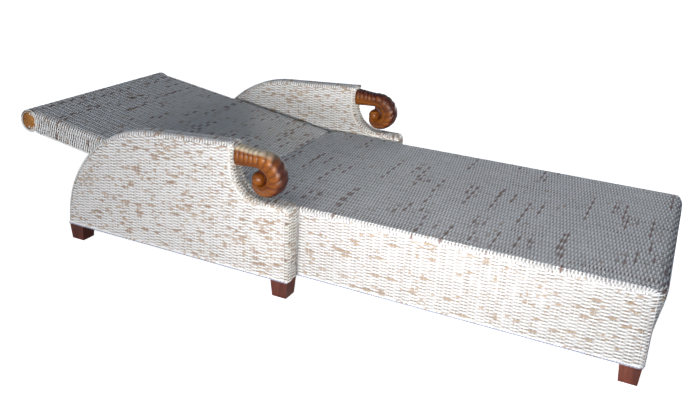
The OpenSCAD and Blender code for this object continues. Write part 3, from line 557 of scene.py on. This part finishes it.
def weave(surface, u_range, v_range, inside=None, wave=WAVE, crest=1.5, squeeze=None):
    """Strands of a plain weave on a surface. surface(u, v) gives points and outward normals.

    The rows run along u over and under stakes that run along v. The crests stand PROUD of the surface
    and are the flatter the larger crest is.
    """
    sink = wave + STRAND_T - PROUD
    strands = []
    rows = max(1, round((v_range[1] - v_range[0]) / ROW))
    pitch = (v_range[1] - v_range[0]) / rows
    for i in range(rows):
        v = v_range[0] + (i + 0.5) * pitch
        for a, b in runs(u_range, inside and (lambda u: inside(u, np.full_like(u, v)))):
            n = max(4, int((b - a) / STAKE * RINGS) + 1)
            u = np.linspace(a, b, n)
            vv = v + wander(n, 0.08 * pitch, 2.2 * RINGS)
            p, out = surface(u, vv)
            across = unit(surface(u, vv + 0.5)[0] - p)
            turn = np.cos(math.pi * (u / STAKE + i))
            lift = np.tanh(crest * turn) / math.tanh(crest) * wave * (1 + wander(n, 0.12, RINGS * 2))
            half = 0.5 * pitch * (1.0 + 0.06 * turn + wander(n, 0.05, RINGS))
            if squeeze:
                half = half * squeeze(u, v)
            strands.append((p + out * (lift - sink)[:, None], across * half[:, None], out * STRAND_T,
                            0.5 - 0.5 * lift / wave))
    for k in range(math.ceil(u_range[0] / STAKE), math.floor(u_range[1] / STAKE) + 1):
        u = k * STAKE
        if u - u_range[0] < 3 or u_range[1] - u < 3:
            continue
        for a, b in runs(v_range, inside and (lambda v: inside(np.full_like(v, u), v))):
            n = max(3, int((b - a) / 9) + 1)
            v = np.linspace(a, b, n)
            p, out = surface(np.full(n, u), v)
            across = unit(surface(np.full(n, u + 0.5), v)[0] - p)
            strands.append((p - out * sink, across * STAKE_R, out * STAKE_R * 0.85, np.full(n, STAKE_DEEP)))
    return strands


def lining(surface, u_range, v_range, inside, du, dv):
    """A thin closed sheet just under the deepest strands: its points, quads and two maps."""
    nu = max(2, int(round((u_range[1] - u_range[0]) / du)) + 1)
    nv = max(2, int(round((v_range[1] - v_range[0]) / dv)) + 1)
    u, v = np.linspace(*u_range, nu), np.linspace(*v_range, nv)
    gu, gv = (g.ravel() for g in np.meshgrid(u, v, indexing="ij"))
    p, out = surface(gu, gv)
    cells = np.ones((nu - 1, nv - 1), bool)
    if inside:
        mu, mv = np.meshgrid((u[1:] + u[:-1]) / 2, (v[1:] + v[:-1]) / 2, indexing="ij")
        cells = inside(mu.ravel(), mv.ravel()).reshape(mu.shape)
    a, b = np.nonzero(cells)
    n = nu * nv
    q = np.stack([a * nv + b, (a + 1) * nv + b, (a + 1) * nv + b + 1, a * nv + b + 1], -1)
    faces = [q, q[:, ::-1] + n]
    wide = np.pad(cells, 1)
    for da, db, i, j in ((-1, 0, 3, 0), (1, 0, 1, 2), (0, -1, 0, 1), (0, 1, 2, 3)):
        rim = q[~wide[a + 1 + da, b + 1 + db]]
        faces.append(np.stack([rim[:, j], rim[:, i], rim[:, i] + n, rim[:, j] + n], -1))
    faces = np.concatenate(faces)
    along, across = surface(gu + 0.5, gv)[0] - p, surface(gu, gv + 0.5)[0] - p
    if np.einsum("ij,ij->", np.cross(along, across), out) < 0:
        faces = faces[:, ::-1]
    where = np.stack([gv * MM, np.full(n, 0.5)], -1)
    plan = np.stack([(gu - u_range[0]) / (u_range[1] - u_range[0]),
                     (gv - v_range[0]) / (v_range[1] - v_range[0])], -1)
    used, faces = np.unique(faces, return_inverse=True)
    points = np.concatenate([p - out * LINING_DEEP, p - out * (LINING_DEEP + LINING_T)])
    return points[used], faces.reshape(-1, 4), np.tile(where, (2, 1))[used], np.tile(plan, (2, 1))[used]


def skin(name, surface, u_range, v_range, mat, body, nodes, cell, inside=None, sheet=None, extra=(), **look):
    """A woven skin over a lining with cells of the size cell. extra is its border strands.

    sheet is the lining's own two ranges, where they differ from the weave's.
    """
    strand_mesh(name, weave(surface, u_range, v_range, inside, **look) + list(extra), mat, body, nodes,
                [lining(surface, *(sheet or (u_range, v_range)), inside, *cell)])


def followed(points, out, lay, per_lay):
    """A border's steps, per_lay of them to a lay: distances, points, outward and sideways axes."""
    length = distances(points)
    s = np.linspace(0, length[-1], max(8, int(length[-1] / lay * per_lay)))
    p, o = (np.stack([np.interp(s, length, q[:, i]) for i in range(3)], 1)
            for q in (points, np.broadcast_to(out, points.shape)))
    o = unit(o)
    return s, p, o, np.cross(unit(np.gradient(p, axis=0)), o)


def rope(points, out, radius=ROPE_R, lay=ROPE_LAY):
    """Two strands twisted round each other along points; out is the outward normal."""
    s, p, o, side = followed(points, out, lay, 9)
    thick = radius * 0.62
    found = []
    for k in range(2):
        a = 2 * math.pi * (s / lay + k / 2)
        centre = p + (radius - thick) * (side * np.cos(a)[:, None] + o * np.sin(a)[:, None])
        found.append((centre, side * thick, o * thick, 0.25 - 0.25 * np.sin(a)))
    return found


def plait(points, out):
    """A flat plait of three strands."""
    s, p, o, side = followed(points, out, PLAIT_LAY, 12)
    found = []
    for k in range(3):
        a = 2 * math.pi * (s / PLAIT_LAY + k / 3)
        sway, lift = PLAIT_W * 0.30 * np.sin(a), 0.9 * np.cos(2 * a)
        found.append((p + side * sway[:, None] + o * lift[:, None],
                      side * PLAIT_W * 0.2, o * 1.25, 0.3 - 0.3 * np.cos(2 * a)))
    return found


class Path:
    """A polyline in a plane with outward normals, read by distance along it."""

    def __init__(self, points, normals):
        self.p, self.n = np.asarray(points, float), np.asarray(normals, float)
        step = np.linalg.norm(np.diff(self.p, axis=0), axis=1)
        keep = np.concatenate([[True], step > 1e-6])
        self.p, self.n = self.p[keep], self.n[keep]
        self.s = distances(self.p)
        self.length = self.s[-1]

    def at(self, s):
        p, n = (np.stack([np.interp(s, self.s, q[:, i]) for i in range(2)], -1) for q in (self.p, self.n))
        over = np.where(s > self.length, s - self.length, np.where(s < 0, s, 0.0))
        end = np.where(s > self.length, len(self.p) - 1, 1)
        return p + unit(self.p[end] - self.p[end - 1]) * over[..., None], unit(n)


def arc(centre, r, a0, a1, hollow=False):
    """Points and outward normals of an arc in degrees; a hollow one faces its centre."""
    a = np.radians(np.linspace(a0, a1, max(6, int(abs(a1 - a0) / 2) + 1)))
    n = np.stack([np.cos(a), np.sin(a)], -1)
    return np.array(centre) + r * n, -n if hollow else n


def line(a, b, normal):
    n = max(2, int(math.dist(a, b) / 10) + 1)
    p = np.linspace(a, b, n)
    return p, np.tile(np.asarray(normal, float), (n, 1))


def joined(*parts):
    return Path(np.concatenate([p for p, _ in parts]), np.concatenate([n for _, n in parts]))


# Deck, apron and backrest: a profile in X and Z, drawn out along Y and rolled over at the sides


def rolled(profile, flat_y, roll_r, at=None, turn=0.0):
    """surface(u, v): v runs along the profile, u across it and round the rolled side edges and down."""
    quarter = roll_r * math.pi / 2

    def surface(u, v):
        p, n = profile.at(v)
        side, over = np.sign(u), np.maximum(np.abs(u) - flat_y, 0)
        a = np.clip(over / roll_r, 0, math.pi / 2)
        down = np.maximum(over - quarter, 0)
        depth = roll_r * (1 - np.cos(a)) + down
        y = side * (np.minimum(np.abs(u), flat_y) + roll_r * np.sin(a))
        out = xyz(n[..., 0] * np.cos(a), side * np.sin(a), n[..., 1] * np.cos(a))
        pos = xyz(p[..., 0] - n[..., 0] * depth, y, p[..., 1] - n[..., 1] * depth)
        if at is not None:
            pos, out = tilt(pos, turn, at), tilt(out, turn)
        return pos, out

    return surface


def tilt(p, degrees, at=None):
    """Backrest coordinates to the room: lifted by degrees about the hinge line."""
    a = math.radians(degrees)
    x, z = p[..., 0], p[..., 2]
    q = xyz(x * math.cos(a) + z * math.sin(a), p[..., 1], -x * math.sin(a) + z * math.cos(a))
    return q if at is None else q + (at[0], 0, at[2])


# How far the seam's weave goes down below its rounded edge
SEAM_DOWN = 18
flat_y = DECK_Y - EDGE_R
deck_path = joined(
    line((DECK_IN, SEAT_H - SEAM_R - SEAM_DOWN), (DECK_IN, SEAT_H - SEAM_R), (-1, 0)),
    arc((DECK_IN + SEAM_R, SEAT_H - SEAM_R), SEAM_R, 180, 90),
    line((DECK_IN + SEAM_R, SEAT_H), (FOOT_X - EDGE_R, SEAT_H), (0, 1)),
    arc((FOOT_X - EDGE_R, SEAT_H - EDGE_R), EDGE_R, 90, 0))
flat_deck = rolled(deck_path, flat_y, EDGE_R)


def bulge(y, z):
    """How far the woven foot end swells out of its plane: more on the right, with its corners drawn in."""
    # Share of the swell at each height
    rise = np.interp(z, [115, 150, 185, 215, 243, 262, 275], [0, 0.12, 0.5, 0.8, 1.0, 0.95, 0.5])
    close = np.exp(-np.clip(DECK_Y - np.abs(y), 0, None) / 20)
    most = np.interp(y, [-DECK_Y, DECK_Y], [FOOT_SWELL, 0.45 * FOOT_SWELL])
    return (1 - (1 + CORNER_DRAW) * close) * rise * most


def swollen(x, y, z):
    """x carried out by the swell, which fades over the last part of the length."""
    return x + np.clip((x - FOOT_X + SWELL_LEN) / SWELL_LEN, 0, 1) ** 2 * bulge(y, z)


def deck_surface(u, v):
    """The rolled deck, with its foot edge drawn out over the swelling foot end."""
    p, n = flat_deck(u, v)
    return xyz(swollen(p[..., 0], p[..., 1], p[..., 2]), p[..., 1], p[..., 2]), n


edge_bend = EDGE_R * math.pi / 2
seam_len = SEAM_DOWN + SEAM_R * math.pi / 2
foot_roll = deck_path.length - edge_bend
deck_reach = flat_y + edge_bend


def on_deck(u, v):
    """Rows on the rolled ends stop short where the corners close."""
    short = np.where(v < seam_len, flat_y - 4, deck_reach)
    lean = np.clip((v - foot_roll) / edge_bend, 0, 1)
    short = np.where(v > foot_roll, flat_y + EDGE_R * (math.pi / 2 - 0.75 * lean), short)
    return np.abs(u) <= short


def corner_squeeze(u, v):
    """Rows run together where a rolled corner closes."""
    if v < foot_roll:
        return np.ones_like(u)
    a = np.clip((np.abs(u) - flat_y) / EDGE_R, 0, math.pi / 2)
    return np.maximum(np.cos(a), 0.25)


middle = round(deck_path.length / 2 / ROW) * ROW
for name, span in (("deck_weave_rear", (0, middle)), ("deck_weave_front", (middle, deck_path.length))):
    skin(name, deck_surface, (-deck_reach, deck_reach), span, cane_top, "base", ("deck_weave",), (6, 8),
         on_deck, wave=TOP_WAVE, crest=TOP_CREST, squeeze=corner_squeeze)

# Skirts: rows of one height all the way round the foot end


def skirt_surface(u, v):
    """u runs from the right side's front, round the foot end, to the left side; v is the height."""
    w = np.abs(u) - flat_y
    s = np.where(u < 0, -1.0, 1.0)
    a = np.clip(w / EDGE_R, 0, math.pi / 2)
    x = FOOT_X - EDGE_R + EDGE_R * np.cos(a) - np.maximum(w - edge_bend, 0)
    y = s * (np.minimum(np.abs(u), flat_y) + EDGE_R * np.sin(a))
    lean = np.cos(a) * (bulge(y, v - 4) - bulge(y, v + 4)) / 8
    return xyz(swollen(x, y, v), y, v), unit(xyz(np.cos(a), s * np.sin(a), lean))


skirt_far = deck_reach + FOOT_X - EDGE_R - FRONT_X + SKIRT_TUCK
skirt_top = SEAT_H - EDGE_R
for side, span in (("right", (-skirt_far, -deck_reach)), ("foot", (-deck_reach, deck_reach)),
                   ("left", (deck_reach, skirt_far))):
    u = np.linspace(*span, 60)
    nodes = ("skirt_" + side,)
    p, out = skirt_surface(u, np.full_like(u, FOOT_H + ROPE_UP))
    skin("skirt_weave_" + side, skirt_surface, span, (FOOT_H + BORDER - 2, skirt_top + 3), cane_side, "base",
         nodes, (6, 20), sheet=(span, (FOOT_H + 2, skirt_top + 6)), extra=rope(p - out * SKIRT_ROPE_IN, out))
    # The skirt's binding is slate blue-grey: painted shade along the lower edge
    p, out = skirt_surface(u, np.full_like(u, FOOT_H + SKIRT_BIND_UP))
    strand_mesh("skirt_binding_" + side, rope(p - out * BIND_IN, out, BIND_R, BIND_LAY),
                cane_painted_shade, "base", nodes)

# Rear apron: up the curve between the arm panels and over its rail

hoop_r = ARM_REAR_R - SKIN_T - 0.2 - POLE_R
stop_r = POLE_R + SKIN_T - 0.5
rest = math.radians(BACK_REST)
stop_reach = ((hinge[0] - ARC[0]) * math.sin(rest) + (hinge[2] - ARC[1]) * math.cos(rest)
              + HINGE_DEPTH - BACK_T - stop_r - 0.3)
stop_a = 180 - math.degrees(math.asin(stop_reach / hoop_r)) - BACK_REST
stop = ARC + hoop_r * np.array([math.cos(math.radians(stop_a)), math.sin(math.radians(stop_a))])
apron_path = joined(arc(ARC, ARM_REAR_R, 180, stop_a), arc(stop, stop_r, stop_a, stop_a - 165))
# Its rows end a little inside the arm panels
apron_y = APRON_Y + 3.5


def apron_surface(u, v):
    p, n = apron_path.at(v)
    return xyz(p[..., 0], u, p[..., 1]), xyz(n[..., 0], 0.0, n[..., 1])


skin("apron_weave", apron_surface, (-apron_y, apron_y), (1, apron_path.length), cane_side, "base",
     ("rear_apron",), (30, 6))

# Arm panels

REACH = BAND_R + 1.5


def in_arm(x, z, i):
    """True inside the panel's outline drawn in by i."""
    top = TOP[1] - i / math.cos(SLOPE) + (x - TOP[0]) * math.tan(SLOPE)
    rear = (x - ARC[0]) ** 2 + (z - ARC[1]) ** 2 <= (ARM_REAR_R - i) ** 2
    body = np.where(x < TOP[0], rear, z <= top)
    toe = FRONT_X - i
    front = np.where(x > FACE_X - i, (z <= TOE_Z - i) & (x <= toe), True)
    hollow = np.hypot(x - NOSE[0], z - NOSE[1]) < NOSE_R + i
    nose = (x > FACE_X - i) & (x <= NOSE[0]) & (z <= NOSE[1]) & ~hollow
    corner = (x > FRONT_X - TOE_R) & (z > TOE_Z - TOE_R)
    round_ok = np.hypot(x - FRONT_X + TOE_R, z - TOE_Z + TOE_R) <= TOE_R - i
    front = np.where(corner, round_ok & (x <= toe), front)
    return body & (front | nose) & (z >= FOOT_H + BORDER - 2)


rim_back = joined(
    line((REAR_X, FOOT_H + 1), (REAR_X, FOOT_H + 2), (-1, 0)),
    arc(ARC, ARM_REAR_R, 180, 90 + ARM_SLOPE),
    line(TOP, (FACE_X, FACE_TOP), (-math.sin(SLOPE), math.cos(SLOPE))))
rim_front = joined(
    line((FACE_X, FACE_TOP - 5), (FACE_X, NOSE[1]), (1, 0)),
    arc(NOSE, NOSE_R, 180, 270, hollow=True),
    line((NOSE[0], TOE_Z), (FRONT_X - TOE_R, TOE_Z), (0, 1)),
    arc((FRONT_X - TOE_R, TOE_Z - TOE_R), TOE_R, 90, 0),
    line((FRONT_X, TOE_Z - TOE_R), (FRONT_X, FOOT_H + 1), (1, 0)))
nose_end = FACE_TOP - 5 - NOSE[1] + NOSE_R * math.pi / 2 + FRONT_X - TOE_R - NOSE[0] - 4
# Across the rim: depth below it and distance from the outer face
across_rim = joined(
    line((-REACH, 0), (-BAND_R, 0), (0, -1)),
    arc((-BAND_R, BAND_R), BAND_R, -90, 0),
    line((0, BAND_R), (0, ARM_OUT - ARM_IN - BAND_R), (1, 0)),
    arc((-BAND_R, ARM_OUT - ARM_IN - BAND_R), BAND_R, 0, 90),
    line((-BAND_R, ARM_OUT - ARM_IN), (-REACH, ARM_OUT - ARM_IN), (0, 1)))


def rim_surface(path, s):
    def surface(u, v):
        q, m = across_rim.at(u)
        p, n = path.at(v)
        p = p + n * q[..., :1]
        return (xyz(p[..., 0], s * (ARM_OUT - q[..., 1]), p[..., 1]),
                xyz(n[..., 0] * m[..., 0], -s * m[..., 1], n[..., 1] * m[..., 0]))
    return surface


def face_surface(y, s):
    return lambda u, v: (xyz(u, y, v), xyz(np.zeros_like(u), s, 0.0))


def outer_face(u, v):
    return in_arm(u, v, REACH)


def inner_face(u, v):
    hidden = (u > DECK_IN) & (v < SEAT_H - EDGE_R - 6)
    return in_arm(u, v, REACH) & ~hidden


long, tall, rim_span = (REAR_X, FRONT_X), (FOOT_H + BORDER - 2, FACE_TOP), (0, across_rim.length)
low_x = np.linspace(REAR_X + 2, FRONT_X - 2, 80)
for side, s in SIDES:
    nodes = ("arm_weave_" + side,)
    outward = (0.0, s, 0.0)
    # The arm's binding is slate blue-grey: painted shade along the lower edge
    low = xyz(low_x, s * (ARM_OUT - BIND_IN), FOOT_H + ARM_BIND_UP)
    strand_mesh("arm_binding_" + side, rope(low, outward, BIND_R, BIND_LAY), cane_painted_shade, "base", nodes)
    skin("arm_outer_weave_" + side, face_surface(s * ARM_OUT, s), long, tall, cane_arm, "base", nodes, (6, 6),
         outer_face, extra=rope(xyz(low_x, s * (ARM_OUT - ROPE_IN), FOOT_H + ROPE_UP), outward))
    skin("arm_inner_weave_" + side, face_surface(s * ARM_IN, -s), long, tall, cane_arm, "base", nodes, (6, 6),
         inner_face)
    skin("arm_rim_weave_" + side, rim_surface(rim_back, s), rim_span, (0, rim_back.length), cane_arm, "base",
         nodes, (4, 8))
    plaits = []
    for y, o in ((ARM_OUT, s), (ARM_IN, -s)):
        p, n = rim_front.at(np.linspace(4, nose_end, 160))
        q = p - n * (BAND_R + 3)
        points = xyz(q[:, 0], s * y + o * 0.2, q[:, 1])
        if y == ARM_IN:
            points = points[points[:, 2] > SEAT_H - EDGE_R]
        plaits += plait(points, (0.0, o, 0.0))
    skin("arm_nose_weave_" + side, rim_surface(rim_front, s), rim_span, (0, rim_front.length), cane_edge,
         "base", nodes, (4, 4), extra=plaits)

# Backrest

back_edge = -HINGE_GAP / 2
roll_r = HEAD_POLE_R + HEAD_WRAP
roll = (-BACK_LEN, HINGE_DEPTH - roll_r)
back_low = HINGE_DEPTH - BACK_T
back_flat = BACK_Y - EDGE_R
back_path = joined(
    line((back_edge, HINGE_DEPTH - SEAM_R - SEAM_DOWN), (back_edge, HINGE_DEPTH - SEAM_R), (1, 0)),
    arc((back_edge - SEAM_R, HINGE_DEPTH - SEAM_R), SEAM_R, 0, 90),
    line((back_edge - SEAM_R, HINGE_DEPTH), (roll[0], HINGE_DEPTH), (0, 1)))
roll_path = joined(arc(roll, roll_r, 90, 285))
back_surface = rolled(back_path, back_flat, EDGE_R, hinge, BACK_REST)
back_reach = back_flat + edge_bend + BACK_T - EDGE_R - BORDER + 2


def on_back(u, v):
    return np.abs(u) <= np.where(v < seam_len, back_flat - 2, back_reach)


low_x = np.linspace(-BACK_LEN + roll_r - 6, back_edge - SEAM_R, 60)
ropes = [strand for s in (-1, 1)
         for strand in rope(tilt(xyz(low_x, s * (BACK_Y - ROPE_IN), back_low + ROPE_UP), BACK_REST, hinge),
                            (0.0, s, 0.0))]
skin("backrest_weave", back_surface, (-back_reach, back_reach), (0, back_path.length), cane_back, "backrest",
     ("back_weave",), (6, 8), on_back, extra=ropes, wave=TOP_WAVE, crest=TOP_CREST)

# The roll round the head pole. Rings of strand bind its ends: radius, strand's radius, place across
END_RINGS = ((31.6, 2.1, BACK_Y - 1.2), (35.4, 2.2, BACK_Y - 2.2), (38.2, 2.1, BACK_Y - 4.4))
ROLL_EDGE = 5
roll_flat, roll_span = BACK_Y - ROLL_EDGE, (0, roll_path.length)
a = np.linspace(0, 2 * math.pi, 73)
radial = xyz(np.cos(a), 0.0, np.sin(a))
bound = [(tilt(radial * r + (roll[0], s * y, roll[1]), BACK_REST, hinge), tilt(radial, BACK_REST) * thick,
          np.tile((0.0, s * thick, 0.0), (len(a), 1)), np.full_like(a, 0.3))
         for s in (-1, 1) for r, thick, y in END_RINGS]
skin("head_roll_weave", rolled(roll_path, roll_flat, ROLL_EDGE, hinge, BACK_REST),
     (-roll_flat - 6, roll_flat + 6), roll_span, cane_edge, "backrest", ("back_weave",), (30, 6),
     sheet=((-roll_flat, roll_flat), roll_span), extra=bound)

# Head pole: turned, with softly domed and rounded ends. half is (distance from the middle, radius)

TURNS = 96
half = [(BACK_Y + 1.2, 0.4)] + [(BACK_Y + 1.2 - 1.6 * (r / 24) ** 2, r) for r in np.linspace(2, 24, 12)]
half += [(BACK_Y - 3 + 2.6 * math.cos(b), 24.6 + 4.2 * math.sin(b)) for b in np.linspace(0.2, math.pi / 2, 7)]
half = np.array(half)
pole = np.concatenate([half * (-1, 1), half[::-1]])
a = np.arange(TURNS) / TURNS * 2 * math.pi
p = xyz(np.outer(pole[:, 1], np.cos(a)), pole[:, :1], np.outer(pole[:, 1], np.sin(a))).reshape(-1, 3)
end = np.repeat(np.clip((np.abs(pole[:, 0]) - (BACK_Y - 3)) / 3, 0, 1), TURNS)
radius = np.repeat(pole[:, 1], TURNS) / HEAD_POLE_R
grown = np.clip(end * (0.10 + 0.16 * (np.sin(radius * 30) > 0.4)) + end * (radius > 0.9) * 0.3, 0, 1)
mesh_object("head_pole", tilt(p + (roll[0], 0, roll[1]), BACK_REST, hinge),
            [tube(len(pole), TURNS, turned=True), caps(len(pole), TURNS, turned=True)], {},
            {"stain": grown, "painted_highlight": np.zeros(len(grown))},
            disc_wood, "backrest", ("back_head_pole",))

# Carved scrolls: the same curl, ribs and band as the part's source, with finer stations

# Eye: reach and drop from the arm's shoulder, radius and length of its knob
EYE_REACH, EYE_DROP, EYE_R, EYE_LEN = 73, 101, 20.5, 52
# Thickness, how far the top lies below the shoulder, height where it leaves the arm
SCROLL_T, SCROLL_IN, SCROLL_FACE = 57, 12, 60
# Ribs: length on the straight part, degrees on the curl, depth
RIB_LEN, RIB_TURN, RIB_DEPTH = 14.6, 17, 1.9
# Web that closes the gap between knob and curl: thickness and inner radius
WEB_T, WEB_R = 14, 14
# Knots of the curl: angle in degrees, outer radius, inner radius
CURL = np.array([[0, 83, 34], [40, 90.5, 32.5], [72, 91, 32.5], [100, 82.5, 28], [138, 64.5, 21],
                 [180, 46.5, 11.5], [222, 29, 7.5], [262, 16, 4]], float)
EYE = np.array([FACE_X + EYE_REACH, FACE_TOP - EYE_DROP])


def curl_r(a, k):
    """Smooth radius between the curl's knots: k is 1 for the outer side, 2 for the inner."""
    i = int(np.clip(np.searchsorted(CURL[:, 0], a, side="right") - 1, 0, len(CURL) - 2))

    def slope(j):
        lo, hi = max(j - 1, 0), min(j + 1, len(CURL) - 1)
        return (CURL[hi, k] - CURL[lo, k]) / (CURL[hi, 0] - CURL[lo, 0])

    w = CURL[i + 1, 0] - CURL[i, 0]
    t = (a - CURL[i, 0]) / w
    return (CURL[i, k] * (2 * t**3 - 3 * t**2 + 1) + slope(i) * w * (t**3 - 2 * t**2 + t)
            + CURL[i + 1, k] * (3 * t**2 - 2 * t**3) + slope(i + 1) * w * (t**3 - t**2))


def scroll_stations(per_rib):
    """(outer point, inner point, half thickness, rib count, slant, share of the curl) along the scroll."""
    straight, round_ribs = EYE_REACH / RIB_LEN, CURL[-1, 0] / RIB_TURN
    found = []
    steps = round(straight * per_rib)
    for i in range(steps):
        t = i / steps
        x, high = FACE_X + EYE_REACH * t, FACE_TOP - SCROLL_IN
        low = high - SCROLL_FACE
        outer = high + (EYE[1] + CURL[0, 1] - high) * t * t * (3 - 2 * t)
        inner = low + (EYE[1] + CURL[0, 2] - low) * t
        found.append(((x, outer), (x, inner), SCROLL_T / 2 - 1.5 + 1.5 * min(1, 8 * t),
                      straight * t, 0.15 + 0.5 * t, 0.0))
    steps = round(round_ribs * per_rib)
    for i in range(steps + 1):
        t = i / steps
        a = CURL[-1, 0] * t
        u = np.array([math.sin(math.radians(a)), math.cos(math.radians(a))])
        found.append((EYE + curl_r(a, 1) * u, EYE + curl_r(a, 2) * u,
                      SCROLL_T / 2 - (SCROLL_T / 2 - 15) * t**2.2, straight + round_ribs * t,
                      0.65 + 1.6 * min(1, 2.2 * t), t))
    return found


def carved_scroll(side, s):
    """One scroll: the ribbed curl, the knob in its eye and the bottom of the gap between them."""
    m = 80
    w = 2 * math.pi * np.arange(m) / m
    turn = np.where(w > math.pi, w - 2 * math.pi, w) / math.pi
    c, sn = np.cos(w), np.sin(w)
    soft_c, soft_s = power(c, 0.72), power(sn, 0.72)
    # The groove lies lower on the face turned away from the deck, and the ribs end at it
    low = np.where(sn * s > 0, -0.40, -0.12)
    ribbed = np.clip((c - low) / 0.2, 0, 1)
    groove = np.exp(-((c - low) / 0.09) ** 2)
    sweep = power(turn, 0.7)
    verts, stain, painted_highlight = [], [], []
    for outer, inner, half, count, slant, share in scroll_stations(12):
        outer, inner = np.array(outer), np.array(inner)
        mid, out = (outer + inner) / 2, (outer - inner) / 2
        hw = np.linalg.norm(out)
        valley = 1 - np.abs(np.sin(math.pi * (count + slant * sweep))) ** 0.7
        cut = RIB_DEPTH * ribbed * valley + RIB_DEPTH * 0.8 * groove
        p = mid + out * (soft_c * (1 - cut / hw))[:, None]
        y = s * ARM_Y + half * soft_s * (1 - cut / half)
        verts.append(xyz(p[:, 0], y, p[:, 1]))
        # The near scroll, on the right, gets a painted highlight: a cream sheen along its top where it leaves
        # the arm.
        # stain darkens the rim, partly as a dark stain and partly as painted shade where the rim faces away
        # from the light
        rim = np.clip((c - 0.35) / 0.45, 0, 1) * (min(1, 5 * max(share - 0.06, 0)) if s < 0 else 1)
        stain.append(np.clip(0.7 * valley * ribbed + 0.55 * groove + 0.85 * rim, 0, 0.96))
        # Painted highlight on the tops of the near scroll's ribs, less in the valleys, fading out early on
        # the curl
        worn = np.clip((c - 0.55) / 0.25, 0, 1) * (1 - 0.6 * valley)
        painted_highlight.append(worn * (0.9 * np.clip(1 - 7 * max(share - 0.02, 0), 0, 1) if s < 0 else 0.0))
    faces = [tube(len(verts), m), caps(len(verts), m)]
    # The knob in the eye, turned about the axis across the arm
    turns, rise = 48, 25
    lat = np.linspace(-math.pi / 2, math.pi / 2, rise + 2)[1:-1, None]
    lon = 2 * math.pi * np.arange(turns) / turns
    wide = np.abs(np.cos(lat)) ** 0.8
    deep = power(np.sin(lat), 0.9)
    knob = xyz(wide * np.cos(lon), deep, wide * np.sin(lon)).reshape(-1, 3)
    knob = np.concatenate([knob, [[0, -1, 0], [0, 1, 0]]]) * (EYE_R, EYE_LEN / 2, EYE_R)
    first = len(verts) * m
    low, last = first + len(knob) - 2, first + (rise - 1) * turns
    j = np.arange(turns)
    after = (j + 1) % turns
    faces += [tube(rise, turns, first, turned=True),
              np.stack([np.full(turns, low), first + j, first + after], -1),
              np.stack([np.full(turns, low + 1), last + after, last + j], -1)]
    # The web, a strip bent round the eye
    first += len(knob)
    a = np.radians(np.linspace(3, 150, 24))
    wide = np.array([curl_r(math.degrees(t), 2) for t in a]) + 4
    near = np.full_like(wide, WEB_R)
    r, y = np.stack([near, wide, wide, near], 1), WEB_T / 2 * np.array([-1, -1, 1, 1])
    web = xyz(r * np.sin(a)[:, None], y, r * np.cos(a)[:, None]).reshape(-1, 3)
    faces += [tube(len(a), 4, first, turned=True), caps(len(a), 4, first, turned=True)]
    verts.append(np.concatenate([knob, web]) + (EYE[0], s * ARM_Y, EYE[1]))
    # The web at the bottom of the gap is stained almost fully dark: painted shade in the gap between knob and
    # curl
    stain.append(np.repeat([0.05, 0.9], [len(knob), len(web)]))
    painted_highlight.append(np.zeros(len(knob) + len(web)))
    mesh_object("carved_scroll_" + side, np.concatenate(verts), faces, {},
                {"stain": np.concatenate(stain), "painted_highlight": np.concatenate(painted_highlight)},
                scroll_wood, "base", ("scroll_" + side,))


for side, s in SIDES:
    carved_scroll(side, s)

# Carried-over nodes of the frame, feet and hardware

HARDWARE = ("hinge_fixed", "hinge_moving", "hinge_pins", "hinge_screws", "rack_screws", "stay_bolts")
for name, ob in frame["nodes"].items():
    if name.startswith("leg_"):
        mat = foot_wood
    elif name.startswith(HARDWARE):
        mat = steel
    elif name == "back_head_pole":
        mat = disc_wood
    elif name.startswith("scroll_"):
        mat = scroll_wood
    elif "weave" in name or name.startswith(("skirt", "rear_apron")):
        mat = cane_side
    else:
        mat = rattan_pole
    for i in range(max(1, len(ob.data.materials))):
        if i < len(ob.data.materials):
            ob.data.materials[i] = mat
        else:
            ob.data.materials.append(mat)
